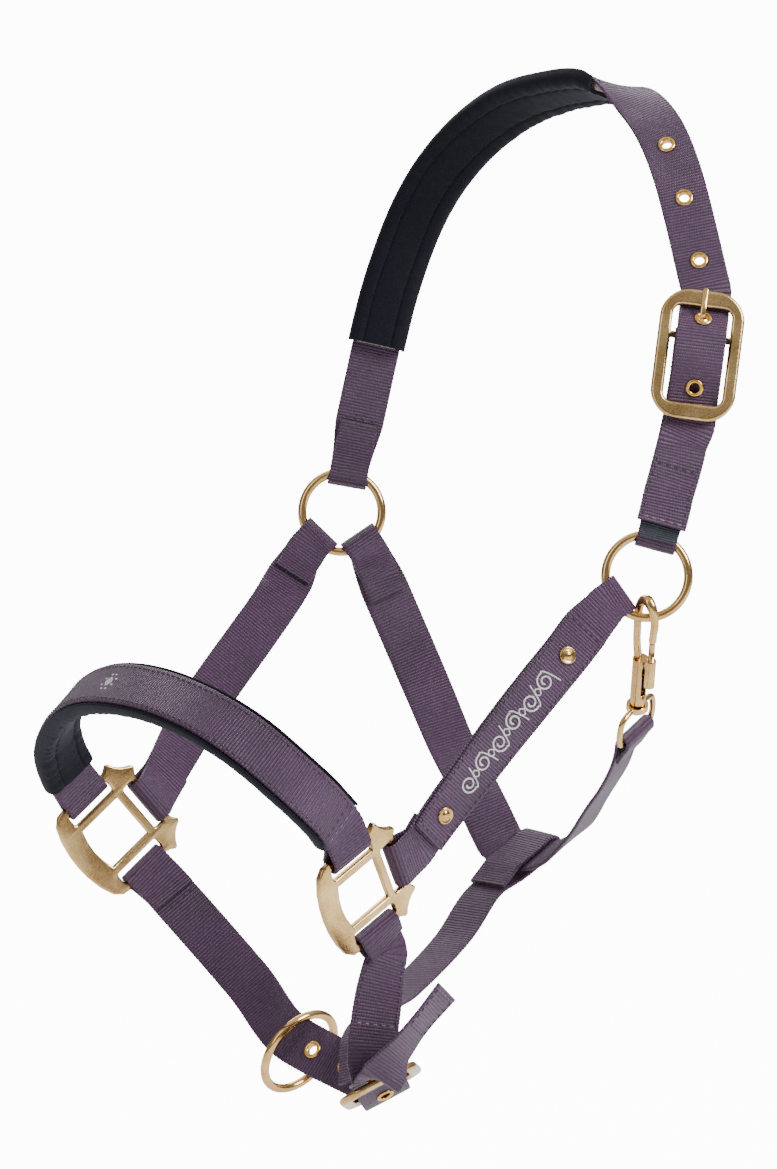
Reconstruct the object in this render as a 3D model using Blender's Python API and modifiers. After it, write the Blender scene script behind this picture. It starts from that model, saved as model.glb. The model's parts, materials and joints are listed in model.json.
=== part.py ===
"""A webbing headcollar for a full-size horse: crown with a padded poll, noseband, two cheek
straps, throat strap with a snap hook, chin strap and its cast fittings.

The origin is the poll, on the inner face of the crown pad. +X is the near side (the horse's
left), -Y is towards the nose and +Z is up. Places and lengths below are in millimetres.
"""

import math

import bmesh
import bpy
import numpy as np
from mathutils import Matrix, Vector

MM = 0.001

# Webbing
WEB_WIDTH = 25.0
WEB_THICK = 1.8
LAYER_GAP = 0.3
OVERLAY_GAP = 0.45
RING_PINCH = 20.0
RING_BACK = 34.0
STATION = 8.0
STRAIGHTEN = 40

# Padding: the foam core and the neoprene that wraps it and the webbing's edges
PAD_WIDTH = 29.0
PAD_DEPTH = 6.4
NEOPRENE = 1.6
CORE_WIDTH = 20.0
CORE_THICK = 3.2
FACING_THICK = 0.8
TAIL_RISE = WEB_THICK + FACING_THICK + 2 * LAYER_GAP + 0.5

# Rings
RING_MEAN_RADIUS = 20.5
RING_WIRE = 4.5
LEAD_MEAN_RADIUS = 22.0
FACE_AZIMUTH = 50.0
FACE_ELEVATION = 10.6
SNAP_ON_RING = -90.4

# Places of the fittings
NEAR_RING = np.array((118.0, -73.0, -220.0))
OFF_RING = np.array((-118.0, -73.0, -220.0))
NEAR_SQUARE = np.array((97.0, -239.0, -359.0))
OFF_SQUARE = np.array((-97.0, -239.5, -362.0))
JUNCTION = np.array((6.0, -56.0, -381.0))
CHIN_BUCKLE = np.array((88.5, -220.0, -461.0))
CROWN_BUCKLE = np.array((115.5, -38.0, -113.5))
CROWN_BUCKLE_UP = np.array((-0.17, 0.31, 0.935))
CHIN_BUCKLE_ACROSS = np.array((-0.50, -0.73, -0.46))
CHIN_BUCKLE_ALONG = np.array((0.69, -0.66, 0.29))
LEAD_RING = np.array((-0.5, -198.5, -464.0))
LEAD_RING_AXIS = np.array((0.92, 0.05, -0.39))
SNAP_UP = np.array((0.365, -0.254, 0.896))
SNAP_SIDE = np.array((0.92, -0.03, -0.39))
EYE_SIDE = np.array((-0.22, 0.90, 0.37))

# Where the connector loops round the throat strap, and where it is stitched to the chin strap
JUNCTION_FACE = np.array((0.0, 0.45, -0.893))
CHIN_JOIN = np.array((52.0, -198.9, -466.6))

# Cast squares
WINDOW = 25.0
SQUARE_BAR = 4.5
SLOT_LENGTH = 27.0
SLOT_GAP = 6.3
OUTER_BAR = 3.2
SQUARE_THICK = 3.8
OUTER_BAR_AT = WINDOW / 2 + SQUARE_BAR + SLOT_GAP + OUTER_BAR / 2

# Buckles
BUCKLE_OUTER = (43.0, 66.0)
BUCKLE_WINDOW = (30.0, 49.0)
BUCKLE_THICK = 4.0
BUCKLE_BAR = 3.4
BUCKLE_BAR_AT = 9.0
TONGUE_WIRE = 2.7

# Eyelets and rivets
EYELET_HOLE = 5.0
EYELET_FLANGE = 9.0
EYELET_RIM = 0.5
RIVET_HEAD = 9.0


# ---------------------------------------------------------------- directions and smooth curves


def unit(vector):
    vector = np.asarray(vector, float)
    return vector / np.linalg.norm(vector)


def square_to(vector, axis):
    """The unit vector nearest to vector that is square to the unit axis."""
    return unit(np.asarray(vector, float) - axis * np.dot(vector, axis))


def facing(azimuth, elevation):
    """Right, up and outward directions of a flat face turned to an azimuth and an elevation."""
    a, e = math.radians(azimuth), math.radians(elevation)
    right = np.array((math.cos(a), math.sin(a), 0.0))
    out = np.array((math.sin(a) * math.cos(e), -math.cos(a) * math.cos(e), math.sin(e)))
    return right, np.cross(out, right), out


def smooth(knots, values, at):
    """Values at the distances asked for, on a smooth curve through the values at the knots."""
    slopes = np.gradient(values, knots, axis=0)
    i = np.clip(np.searchsorted(knots, at, side="right") - 1, 0, len(knots) - 2)
    span = (knots[i + 1] - knots[i])[:, None]
    t = (at - knots[i])[:, None] / span
    return (
        (1 + 2 * t) * (1 - t) ** 2 * values[i]
        + t * (1 - t) ** 2 * span * slopes[i]
        + t * t * (3 - 2 * t) * values[i + 1]
        + t * t * (t - 1) * span * slopes[i + 1]
    )


def distances(points):
    return np.concatenate(([0.0], np.cumsum(np.linalg.norm(np.diff(points, axis=0), axis=1))))


class Path:
    """A strap's centre line and, at each station, the direction that its outer side faces."""

    def __init__(self, centre, face):
        self.centre = np.array(centre, float)
        self.along = np.gradient(self.centre, axis=0)
        self.along /= np.linalg.norm(self.along, axis=1)[:, None]
        face = np.array(face, float)
        face -= self.along * (face * self.along).sum(axis=1)[:, None]
        self.face = face / np.linalg.norm(face, axis=1)[:, None]
        self.across = np.cross(self.along, self.face)
        self.at = distances(self.centre)
        self.length = self.at[-1]

    def turned_round(self):
        return Path(self.centre[::-1], self.face[::-1])

    def layer(self, offset, start=0.0, stop=None):
        """The same stations moved outwards by offset, from start to stop along the line."""
        stop = self.length if stop is None else stop
        kept = (self.at >= start) & (self.at <= stop)
        return Path(self.centre[kept] + self.face[kept] * offset, self.face[kept])

    def frame(self, distance):
        """Place, direction along, direction across and outward direction at a distance."""
        at = np.array((distance,))
        out = unit(smooth(self.at, self.face, at)[0])
        along = square_to(smooth(self.at, self.along, at)[0], out)
        return smooth(self.at, self.centre, at)[0], along, np.cross(along, out), out


class Fold:
    """A strap's end taken round a bar and back under itself, or over itself if outside is set.

    hold is how far past the bar its two legs stay apart, and back is the length that returns.
    """

    MEET = 14.0
    PITCH = WEB_THICK + 0.4
    ARC = (45, 0, -45, -90)

    def __init__(self, bar, axis, half, hold=0.0, back=28.0, spare=0.5, away=None, outside=False):
        self.bar = np.array(bar, float)
        self.axis = unit(axis)
        self.away = None if away is None else square_to(away, self.axis)
        self.radius = half + spare + WEB_THICK / 2
        self.hold = hold
        self.back = back
        self.side = -1.0 if outside else 1.0

    def lead(self, towards, face):
        """The points where the strap's own leg leaves the bar, nearest the bar first."""
        if self.away is None:
            self.away = square_to(towards - self.bar, self.axis)
        self.out = np.cross(self.axis, self.away)
        self.out *= math.copysign(1.0, np.dot(self.out, face))
        leg = self.out * self.side
        points = [self.bar + leg * self.radius]
        if self.hold:
            points.append(self.bar + self.away * self.hold + leg * self.radius)
        points.append(self.bar + self.away * (self.hold + self.MEET) + leg * self.PITCH / 2)
        return points

    def wrap(self, path):
        """The path, which ends above the bar, carried round it and back."""
        centre, face = list(path.centre), list(path.face)
        for angle in self.ARC:
            turn = math.cos(math.radians(angle)) * -self.away
            turn = turn + math.sin(math.radians(angle)) * self.out * self.side
            centre.append(self.bar + turn * self.radius)
            face.append(turn * self.side)
        for i in range(len(path.centre) - 2, -1, -1):
            gone = path.length - path.at[i]
            if gone > self.back:
                break
            t = min(max((gone - self.hold) / self.MEET, 0.0), 1.0)
            apart = 2 * self.radius
            apart += (self.PITCH - apart) * t * t * (3 - 2 * t)
            centre.append(path.centre[i] - path.face[i] * apart * self.side)
            face.append(-path.face[i])
        return Path(centre, face)


def straightened(path, held):
    """The path with its edgeways waves smoothed out, because webbing hardly bends that way.

    Stations slide along the strap's width only, and those marked as held stay put.
    """
    free = ~held[1:-1]
    for _ in range(STRAIGHTEN):
        gaps = np.diff(path.at)
        share = (gaps[:-1] / (gaps[:-1] + gaps[1:]))[:, None]
        between = path.centre[:-2] * (1 - share) + path.centre[2:] * share
        slide = ((between - path.centre[1:-1]) * path.across[1:-1]).sum(axis=1) * free
        centre = path.centre.copy()
        centre[1:-1] += path.across[1:-1] * slide[:, None] * 0.5
        path = Path(centre, path.face)
    return path


def strap(route, start=None, end=None, step=STATION):
    """(single layer, whole strap with its folds) along a route of (place, outward direction).

    A third item in a route's point, if true, holds that point where it is.
    """
    places = [np.array(point[0], float) for point in route]
    faces = [np.array(point[1], float) for point in route]
    held = [len(point) > 2 for point in route]
    if start:
        lead = start.lead(places[0], faces[0])
        places = lead + places
        faces = [start.out] * len(lead) + faces
        held = [True] * (len(lead) - 1) + [not start.hold] + held
    if end:
        lead = end.lead(places[-1], faces[-1])
        places = places + lead[::-1]
        faces = faces + [end.out] * len(lead)
        held = held + [not end.hold] + [True] * (len(lead) - 1)
    places, faces = np.array(places), np.array(faces)
    knots = distances(places)
    at, still = [0.0], [True]
    for i in range(len(knots) - 1):
        count = math.ceil((knots[i + 1] - knots[i]) / step)
        at.extend(np.linspace(knots[i], knots[i + 1], count + 1)[1:])
        still += [held[i] and held[i + 1]] * (count - 1) + [held[i + 1]]
    at = np.array(at)
    single = Path(smooth(knots, places, at), smooth(knots, faces, at))
    single = straightened(single, np.array(still))
    whole = single
    if start:
        whole = start.wrap(whole.turned_round()).turned_round()
    if end:
        whole = end.wrap(whole)
    return single, whole


# ---------------------------------------------------------------- objects and materials


def clear_scene():
    for thing in list(bpy.data.objects):
        bpy.data.objects.remove(thing, do_unlink=True)


def collection(name, hidden=False):
    made = bpy.data.collections.new(name)
    made.hide_render = hidden
    bpy.context.scene.collection.children.link(made)
    return made


def material(name, colour, roughness, metallic=0.0):
    made = bpy.data.materials.new(name)
    made.use_nodes = True
    shader = made.node_tree.nodes["Principled BSDF"]
    shader.inputs["Base Color"].default_value = (*colour, 1.0)
    shader.inputs["Roughness"].default_value = roughness
    shader.inputs["Metallic"].default_value = metallic
    made.diffuse_color = (*colour, 1.0)
    return made


def add_object(name, data, look, home=None):
    made = bpy.data.objects.new(name, data)
    (home or PARTS).objects.link(made)
    if look:
        made.data.materials.append(look)
    return made


def solid_from(name, shape, look, smooth_angle=40.0, home=None):
    """An object from a bmesh, shaded smooth except at edges sharper than the angle."""
    data = bpy.data.meshes.new(name)
    shape.to_mesh(data)
    shape.free()
    data.shade_smooth()
    data.set_sharp_from_angle(angle=math.radians(smooth_angle))
    return add_object(name, data, look, home)


def placement(place, x, y, z):
    """The matrix that carries local millimetre axes to a place in the world, in metres."""
    turn = Matrix((x, y, z)).transposed().to_4x4()
    return Matrix.Translation(Vector(place) * MM) @ turn


def set_origin(thing, place, turn=None):
    """Move an object's origin, and not its mesh, to a place, with an optional turn."""
    matrix = Matrix.Translation(Vector(place) * MM) @ (turn or Matrix()).to_4x4()
    thing.data.transform(matrix.inverted() @ thing.matrix_basis)
    thing.matrix_basis = matrix


def curve_mesh(name, curve, look, matrix=None, home=None):
    """A mesh object made from curve data, with its caps welded."""
    guide = bpy.data.objects.new(name + "_guide", curve)
    bpy.context.scene.collection.objects.link(guide)
    graph = bpy.context.evaluated_depsgraph_get()
    data = bpy.data.meshes.new_from_object(guide.evaluated_get(graph))
    bpy.data.objects.remove(guide, do_unlink=True)
    bpy.data.curves.remove(curve)
    shape = bmesh.new()
    shape.from_mesh(data)
    bpy.data.meshes.remove(data)
    bmesh.ops.remove_doubles(shape, verts=shape.verts, dist=1e-6)
    bmesh.ops.recalc_face_normals(shape, faces=shape.faces)
    made = solid_from(name, shape, look, home=home)
    if matrix:
        made.matrix_basis = matrix
    return made


def poly_line(curve, points, closed=False):
    line = curve.splines.new("POLY")
    line.points.add(len(points) - 1)
    for point, place in zip(line.points, points):
        point.co = (*(Vector(place).to_3d() * MM), 1.0)
    line.use_cyclic_u = closed


def wire(name, points, radius, look, matrix=None, sides=2, closed=False, radii=None):
    """A round wire through the points, closed into a ring or with filled ends."""
    curve = bpy.data.curves.new(name, "CURVE")
    curve.dimensions = "3D"
    curve.bevel_depth = radius * MM
    curve.bevel_resolution = sides
    curve.use_fill_caps = not closed
    poly_line(curve, points, closed)
    if radii:
        for point, scale in zip(curve.splines[0].points, radii):
            point.radius = scale
    return curve_mesh(name, curve, look, matrix)


def plate(name, outline, holes, thick, bevel, look, matrix, home=None):
    """A flat plate with rounded edges, from a closed outline and the outlines of its holes."""
    curve = bpy.data.curves.new(name, "CURVE")
    curve.dimensions = "2D"
    curve.fill_mode = "BOTH"
    curve.extrude = (thick / 2 - bevel) * MM
    curve.bevel_depth = bevel * MM
    curve.bevel_resolution = 1 if bevel else 0
    curve.offset = -bevel * MM
    for ring in (outline, *holes):
        poly_line(curve, ring, closed=True)
    return curve_mesh(name, curve, look, matrix, home=home)


def turned(name, profile, look, place, axis, segments=12, home=None):
    """A closed profile of (radius, height) turned about an axis through a place."""
    data = bpy.data.meshes.new(name)
    rows = [(radius * MM, 0.0, height * MM) for radius, height in profile]
    edges = [(i, (i + 1) % len(rows)) for i in range(len(rows))]
    data.from_pydata(rows, edges, [])
    made = add_object(name, data, look, home)
    screw = made.modifiers.new("turn", "SCREW")
    screw.steps = screw.render_steps = segments
    screw.use_merge_vertices = True
    screw.merge_threshold = 1e-6
    screw.use_smooth_shade = True
    x = square_to((0.31, 0.72, 0.62), unit(axis))
    made.matrix_basis = placement(place, x, np.cross(unit(axis), x), unit(axis))
    return made


def cut(thing, cutter, operation="DIFFERENCE"):
    modifier = thing.modifiers.new(cutter.name, "BOOLEAN")
    modifier.operation = operation
    modifier.object = cutter
    modifier.solver = "EXACT"


def cylinder(name, radius, length, place, axis, home, look=None, segments=12):
    """A cylinder centred on a place, along an axis."""
    shape = bmesh.new()
    bmesh.ops.create_cone(
        shape, cap_ends=True, segments=segments,
        radius1=radius * MM, radius2=radius * MM, depth=length * MM,
    )
    made = solid_from(name, shape, look, home=home)
    x = square_to((0.31, 0.72, 0.62), unit(axis))
    made.matrix_basis = placement(place, x, np.cross(unit(axis), x), unit(axis))
    return made


def block(name, size, matrix, home, look=None):
    """A box of a size, centred on a matrix's origin."""
    shape = bmesh.new()
    bmesh.ops.create_cube(shape, size=1.0)
    bmesh.ops.scale(shape, verts=shape.verts, vec=Vector(size) * MM)
    made = solid_from(name, shape, look, home=home)
    made.matrix_basis = matrix
    return made


def helper(thing):
    thing.display_type = "WIRE"
    thing.hide_render = True
    return thing


def band(name, path, section, thick, look, widths=None):
    """A sheet swept along a path and thickened.

    section holds (across, outward) offsets, and widths scales the offsets across at each station.
    """
    rows, columns = len(path.centre), len(section)
    widths = np.ones(rows) if widths is None else widths
    shape = bmesh.new()
    bmesh.ops.create_grid(shape, x_segments=columns - 1, y_segments=rows - 1, size=0.5)
    shape.verts.ensure_lookup_table()
    for i in range(rows):
        for j, (across, outward) in enumerate(section):
            place = path.centre[i] + path.across[i] * across * widths[i] + path.face[i] * outward
            shape.verts[i * columns + j].co = place * MM
    made = solid_from(name, shape, look)
    thicken = made.modifiers.new("thickness", "SOLIDIFY")
    thicken.thickness = thick * MM
    thicken.offset = 0.0
    thicken.use_even_offset = True
    return made


def flat(width):
    return ((-width / 2, 0.0), (width / 2, 0.0))


def pinched(whole, at_start=False, at_end=False):
    """How the width narrows where a strap folds round a ring."""
    scale = np.ones(len(whole.centre))
    for end, used in ((0.0, at_start), (whole.length, at_end)):
        if used:
            gone = np.clip((np.abs(whole.at - end) - RING_BACK - 18.0) / 18.0, 0.0, 1.0)
            scale *= 1.0 - (1.0 - RING_PINCH / WEB_WIDTH) * (1.0 - gone)
    return scale


def webbing(name, path, look, width=WEB_WIDTH, widths=None):
    return band(name, path, flat(width), WEB_THICK, look, widths)


# ---------------------------------------------------------------- repeated fittings


def eyelet(name, path, distance, thing):
    """A brass eyelet set in a strap, with the hole that it needs."""
    place, _, _, out = path.frame(distance)
    hole, barrel, flange = EYELET_HOLE / 2, EYELET_HOLE / 2 + 0.45, EYELET_FLANGE / 2
    under = WEB_THICK / 2 + 0.25
    top = under + EYELET_RIM
    half = ((hole, top), (flange - 0.5, top), (flange, under), (barrel, under))
    profile = half + tuple((radius, -height) for radius, height in reversed(half))
    made = turned(name, profile, BRASS, place, out)
    step = WEB_THICK / 2 + 0.05
    upper = ((0.0, 3.5), (flange + 0.35, 3.5), (flange + 0.35, step), (barrel + 0.35, step))
    room = upper + tuple((radius, -height) for radius, height in reversed(upper))
    cut(thing, helper(turned(name + "_hole", room, None, place, out, home=CUTTERS)))
    return made


def rivet(name, path, distance, layers):
    """A domed rivet through two layers, with a washer head on the inner side."""
    place, _, _, out = path.frame(distance)
    place = place + out * (WEB_THICK + OVERLAY_GAP) / 2
    shank, head = 1.6, RIVET_HEAD / 2
    under = WEB_THICK + OVERLAY_GAP / 2 + 0.3
    profile = (
        (0.0, under + 1.5),
        (head * 0.6, under + 1.2),
        (head, under + 0.1),
        (head, under),
        (shank, under),
        (shank, -under),
        (head * 0.8, -under),
        (head * 0.8, -under - 0.5),
        (0.0, -under - 0.8),
    )
    made = turned(name, profile, GOLD, place, out)
    for i, layer in enumerate(layers):
        cutter = cylinder(f"{name}_hole_{i}", shank + 0.5, 12.0, place, out, CUTTERS)
        cut(layer, helper(cutter))
    return made


def ring(name, centre, axis, mean_radius):
    shape = bmesh.new()
    round_wire = bmesh.ops.create_circle(shape, segments=8, radius=RING_WIRE / 2 * MM)
    turn = Matrix.Translation((mean_radius * MM, 0, 0)) @ Matrix.Rotation(math.pi / 2, 4, "X")
    bmesh.ops.transform(shape, matrix=turn, verts=round_wire["verts"])
    bmesh.ops.spin(
        shape, geom=shape.verts[:] + shape.edges[:], cent=(0, 0, 0), axis=(0, 0, 1),
        angle=2 * math.pi, steps=36, use_merge=True,
    )
    bmesh.ops.recalc_face_normals(shape, faces=shape.faces)
    made = solid_from(name, shape, GOLD)
    x = square_to((0.31, 0.72, 0.62), unit(axis))
    made.matrix_basis = placement(centre, x, np.cross(unit(axis), x), unit(axis))
    return made


def ring_fold(centre, right, up, angle, spare=1.3, back=RING_BACK):
    """The fold of a pinched strap round a ring's wire at an angle on the ring."""
    a = math.radians(angle)
    outwards = math.cos(a) * right + math.sin(a) * up
    tangent = -math.sin(a) * right + math.cos(a) * up
    chord = math.sqrt(RING_MEAN_RADIUS**2 - (RING_PINCH / 2) ** 2)
    return Fold(centre + outwards * (chord + 0.6), tangent, RING_WIRE / 2, 7.0, back, spare)


def arc(centre, radius, start, stop, count):
    """Points on an arc, with its ends, from angles in degrees."""
    angles = np.radians(np.linspace(start, stop, count))
    return [(centre[0] + radius * math.cos(a), centre[1] + radius * math.sin(a)) for a in angles]


def rounded_rectangle(width, height, radius, count=5, centre=(0.0, 0.0)):
    points = []
    for corner, (sx, sy) in enumerate(((1, 1), (-1, 1), (-1, -1), (1, -1))):
        middle = (
            centre[0] + sx * (width / 2 - radius),
            centre[1] + sy * (height / 2 - radius),
        )
        points += arc(middle, radius, corner * 90, corner * 90 + 90, count)
    return points


def bowed_rectangle(width, height, radius, bow, count=5):
    """A rounded rectangle whose four sides bulge by bow."""
    points = []
    for x, y in rounded_rectangle(width, height, radius, count):
        points.append((
            x + math.copysign(bow, x) * (1 - (2 * y / height) ** 2),
            y + math.copysign(bow, y) * (1 - (2 * x / width) ** 2),
        ))
    return points


def square_outline():
    """The fitting's outline: three outer bars, two fishtail corners and a curved front edge.

    x runs towards the cheek strap and y towards the noseband.
    """
    side = OUTER_BAR_AT + OUTER_BAR / 2
    corner = arc((34.0, 34.0), 15.2, 249.0, 201.0, 5)
    half = [(side, 0.0), (side, 12.5), (side + 0.9, 15.5)]
    half += [(side + 2.8, 18.3), *corner, (18.3, side + 2.8)]
    half += [(15.5, side + 0.9), (12.5, side), (0.0, side), (-9.0, side)]
    half += [(-13.0, side + 1.2), (-17.5, side + 0.6), (-21.5, 23.5), (-24.3, 16.0), (-25.8, 7.5)]
    mirrored = [(x, -y) for x, y in reversed(half[1:])]
    return half + [(-26.2, 0.0)] + mirrored


def square_fitting(name, centre, towards_cheek, towards_nose, out):
    """The cast square that joins noseband, cheek strap and chin strap."""
    half = WINDOW / 2
    window = [(half, -half), (half, half), (-half, half)]
    window += [(-half - 1.6, half / 2), (-half - 2.2, 0.0), (-half - 1.6, -half / 2)]
    window += [(-half, -half)]
    slot_middle = half + SQUARE_BAR + SLOT_GAP / 2
    slots = [
        rounded_rectangle(SLOT_LENGTH, SLOT_GAP, 1.5, 3, (0.0, slot_middle)),
        rounded_rectangle(SLOT_LENGTH, SLOT_GAP, 1.5, 3, (0.0, -slot_middle)),
        rounded_rectangle(SLOT_GAP, SLOT_LENGTH, 1.5, 3, (slot_middle, 0.0)),
    ]
    x = unit(towards_cheek)
    z = square_to(out, x)
    y = np.cross(z, x)
    if np.dot(y, towards_nose) < 0:
        y, z = -y, -z
    matrix = placement(centre, x, y, z)
    made = plate(
        name, square_outline(), [window, *slots], SQUARE_THICK, 0.8, GOLD, matrix
    )
    return made, x, y


def square_fold(centre, towards, along_bar, back=28.0, outside=False):
    bar = centre + towards * OUTER_BAR_AT
    return Fold(bar, along_bar, 2.3, 0.0, back, 0.7, outside=outside)


class Buckle:
    """A rounded frame with a centre bar: x across, y towards the strap that comes in, z out."""

    WEAVE = (
        (33.0, -3.7), (25.3, -3.9), (17.6, 2.2), (9.0, 6.4),
        (0.0, 5.4), (-10.0, 1.8), (-22.5, -3.4), (-35.0, -4.0),
    )

    def __init__(self, centre, across, incoming, shift=0.0):
        self.centre = np.array(centre, float)
        self.shift = shift
        self.y = unit(incoming)
        self.x = square_to(across, self.y)
        self.z = np.cross(self.x, self.y)

    def place(self, y, z=0.0, x=0.0):
        return self.centre + self.x * x + self.y * y + self.z * z

    def weave(self):
        """The strap's way: under the first end, over the centre bar, under the other end."""
        return [(self.place(y, z, self.shift), self.z, True) for y, z in self.WEAVE]

    def build(self, name):
        matrix = placement(self.centre, self.x, self.y, self.z)
        outer = bowed_rectangle(BUCKLE_OUTER[0] - 2.4, BUCKLE_OUTER[1] - 2.4, 13.0, 1.2)
        inner = bowed_rectangle(BUCKLE_WINDOW[0] - 0.8, BUCKLE_WINDOW[1] - 0.8, 4.0, 0.4)
        frame = plate(name + "_frame", outer, [inner], BUCKLE_THICK, 0.9, GOLD, matrix)
        bar = cylinder(
            name + "_bar", BUCKLE_BAR / 2, BUCKLE_WINDOW[0] + 4.0,
            self.place(BUCKLE_BAR_AT), self.x, CUTTERS,
        )
        cut(frame, helper(bar), "UNION")
        return frame

    def tongue(self, name):
        """A wire bent round the centre bar, up through the eyelet and over the frame's end."""
        loop = BUCKLE_BAR / 2 + 0.35 + TONGUE_WIRE / 2
        points = [
            (0.0, BUCKLE_BAR_AT + loop * math.cos(math.radians(a)), loop * math.sin(math.radians(a)))
            for a in range(25, 271, 35)
        ]
        shaft = ((9.0, -loop), (13.0, -loop), (15.4, -2.4), (16.7, -0.2), (17.6, 2.2))
        shaft += ((18.6, 4.5), (21.6, 5.4), (28.5, 4.5), (32.0, 4.0))
        points += [(0.0, y, z) for y, z in shaft]
        matrix = placement(self.centre, self.x, self.y, self.z)
        made = wire(name + "_tongue", points, TONGUE_WIRE / 2, GOLD, matrix, sides=1)
        pivot = self.place(BUCKLE_BAR_AT)
        set_origin(made, pivot, matrix.to_3x3())
        return made

    def bar_fold(self, back):
        """The fold of the strap that holds the buckle by its centre bar."""
        return Fold(self.place(BUCKLE_BAR_AT), self.x, BUCKLE_BAR / 2, 0.0, back, 0.3)

    def tongue_slot(self, name, thing):
        """The slot in that fold, which leaves room for the tongue's loop."""
        matrix = placement(self.place(BUCKLE_BAR_AT - 1.0), self.x, self.y, self.z)
        cut(thing, helper(block(name, (TONGUE_WIRE + 1.6, 13.0, 14.0), matrix, CUTTERS)))


# ---------------------------------------------------------------- the snap hook

SNAP_BARREL = (4.0, 28.0)
SNAP_BORE = 2.3
SNAP_TRAVEL = 8.5
SNAP_REACH = 54.5
BOLT_AT = 8.2
HOOK_MIDDLE = 2.25
HOOK_WIRE = 2.1
EYE_HALF = 15.0
EYE_DROP = 19.0
EYE_WIRE = 1.6


def snap_body(matrix):
    """Barrel with its bore and slot, the hook above it and the swivel stem below it."""
    radius, length = SNAP_BARREL
    hook = [(-1.2, 0, 24.0), (-2.6, 0, 29.0), (-3.9, 0, 35.0), (-4.5, 0, 45.0), (-4.5, 0, 54.0)]
    hook += [(-3.3, 0, 59.7), (-0.7, 0, 63.4), (2.25, 0, 65.0), (5.2, 0, 63.4), (7.8, 0, 59.7)]
    hook += [(9.0, 0, 54.0), (8.6, 0, 48.5), (BOLT_AT, 0, 43.5)]
    swell = [1.1, 1.0, 0.95, 0.95, 1.0, 1.05, 1.25, 1.35, 1.25, 1.05, 1.0, 0.95, 0.95]
    body = wire("snap_body", hook, HOOK_WIRE, GOLD, matrix, sides=2, radii=swell)
    place = np.array(matrix.translation) / MM
    axis = np.array(matrix.col[2][:3])
    barrel = cylinder("snap_barrel", radius, length, place + axis * length / 2, axis, CUTTERS)
    stem = cylinder("snap_stem", 2.0, 6.0, place - axis * 2.6, axis, CUTTERS)
    head = cylinder("snap_head", 3.4, 1.6, place - axis * 5.0, axis, CUTTERS)
    bore = cylinder("snap_bore", SNAP_BORE, 22.0, place + axis * 13.5, axis, CUTTERS)
    slot = matrix @ Matrix.Translation(Vector((3.0, 0.0, 14.6)) * MM)
    for piece in (barrel, stem, head):
        cut(body, helper(piece), "UNION")
    cut(body, helper(bore))
    cut(body, helper(block("snap_slot", (6.0, 2.8, 17.0), slot, CUTTERS)))
    return body


def snap_bolt(matrix):
    """The pin that closes the hook, its thumb slide, and the plunger that the spring pushes."""
    place = np.array(matrix.translation) / MM
    x, axis = np.array(matrix.col[0][:3]), np.array(matrix.col[2][:3])
    side = place + x * BOLT_AT
    bolt = cylinder("snap_bolt", 2.7, 16.0, side + axis * 23.5, axis, PARTS, GOLD)
    pin = cylinder("snap_pin", 1.6, 14.0, side + axis * 35.4, axis, CUTTERS)
    plunger = cylinder("snap_plunger", SNAP_BORE - 0.4, 6.0, place + axis * 19.0, axis, CUTTERS)
    neck = matrix @ Matrix.Translation(Vector((BOLT_AT / 2, 0.0, 19.5)) * MM)
    cut(bolt, helper(pin), "UNION")
    cut(bolt, helper(plunger), "UNION")
    cut(bolt, helper(block("snap_neck", (BOLT_AT, 2.0, 3.2), neck, CUTTERS)), "UNION")
    return bolt


def snap_spring(matrix):
    turns, bottom, top, steps = 6, 3.1, 15.4, 10
    points = []
    for i in range(turns * steps + 1):
        angle = 2 * math.pi * i / steps
        height = bottom + (top - bottom) * i / (turns * steps)
        points.append((1.6 * math.cos(angle), 1.6 * math.sin(angle), height))
    return wire("snap_spring", points, 0.25, STEEL, matrix, sides=0)


def snap_eye(matrix):
    """The swivel eye: a collar round the stem and a square bail that holds the strap."""
    lower = [(5.0, 0, -2.2), (10.5, 0, -3.0), (13.6, 0, -4.6), (EYE_HALF, 0, -7.8)]
    lower += [(EYE_HALF, 0, -EYE_DROP + 2.6), (EYE_HALF - 0.8, 0, -EYE_DROP + 0.8)]
    lower += [(EYE_HALF - 2.6, 0, -EYE_DROP)]
    left = [(-x, y, z) for x, y, z in lower]
    eye = wire("snap_eye", lower + left[::-1], EYE_WIRE, GOLD, matrix, sides=1)
    place = np.array(matrix.translation) / MM
    axis = np.array(matrix.col[2][:3])
    collar = cylinder("eye_collar", 5.6, 3.2, place - axis * 2.2, axis, CUTTERS, segments=16)
    cut(eye, helper(collar), "UNION")
    cut(eye, helper(cylinder("eye_hole", 2.4, 8.0, place - axis * 2.2, axis, CUTTERS)))
    return eye


# ---------------------------------------------------------------- the straps


def lining(name, path):
    """The neoprene under a strap, with rims that roll up beside the webbing."""
    half, floor = PAD_WIDTH / 2 - NEOPRENE / 2, -PAD_DEPTH
    side = ((half, 1.0), (half + 0.3, -2.2), (half - 1.3, floor + 1.0), (6.0, floor))
    section = tuple((-a, n) for a, n in side) + tuple(reversed(side))
    return band(name, path, section, NEOPRENE, NEOPRENE_LOOK)


def core(name, path):
    return band(name, path, flat(CORE_WIDTH), CORE_THICK, FOAM)


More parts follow.
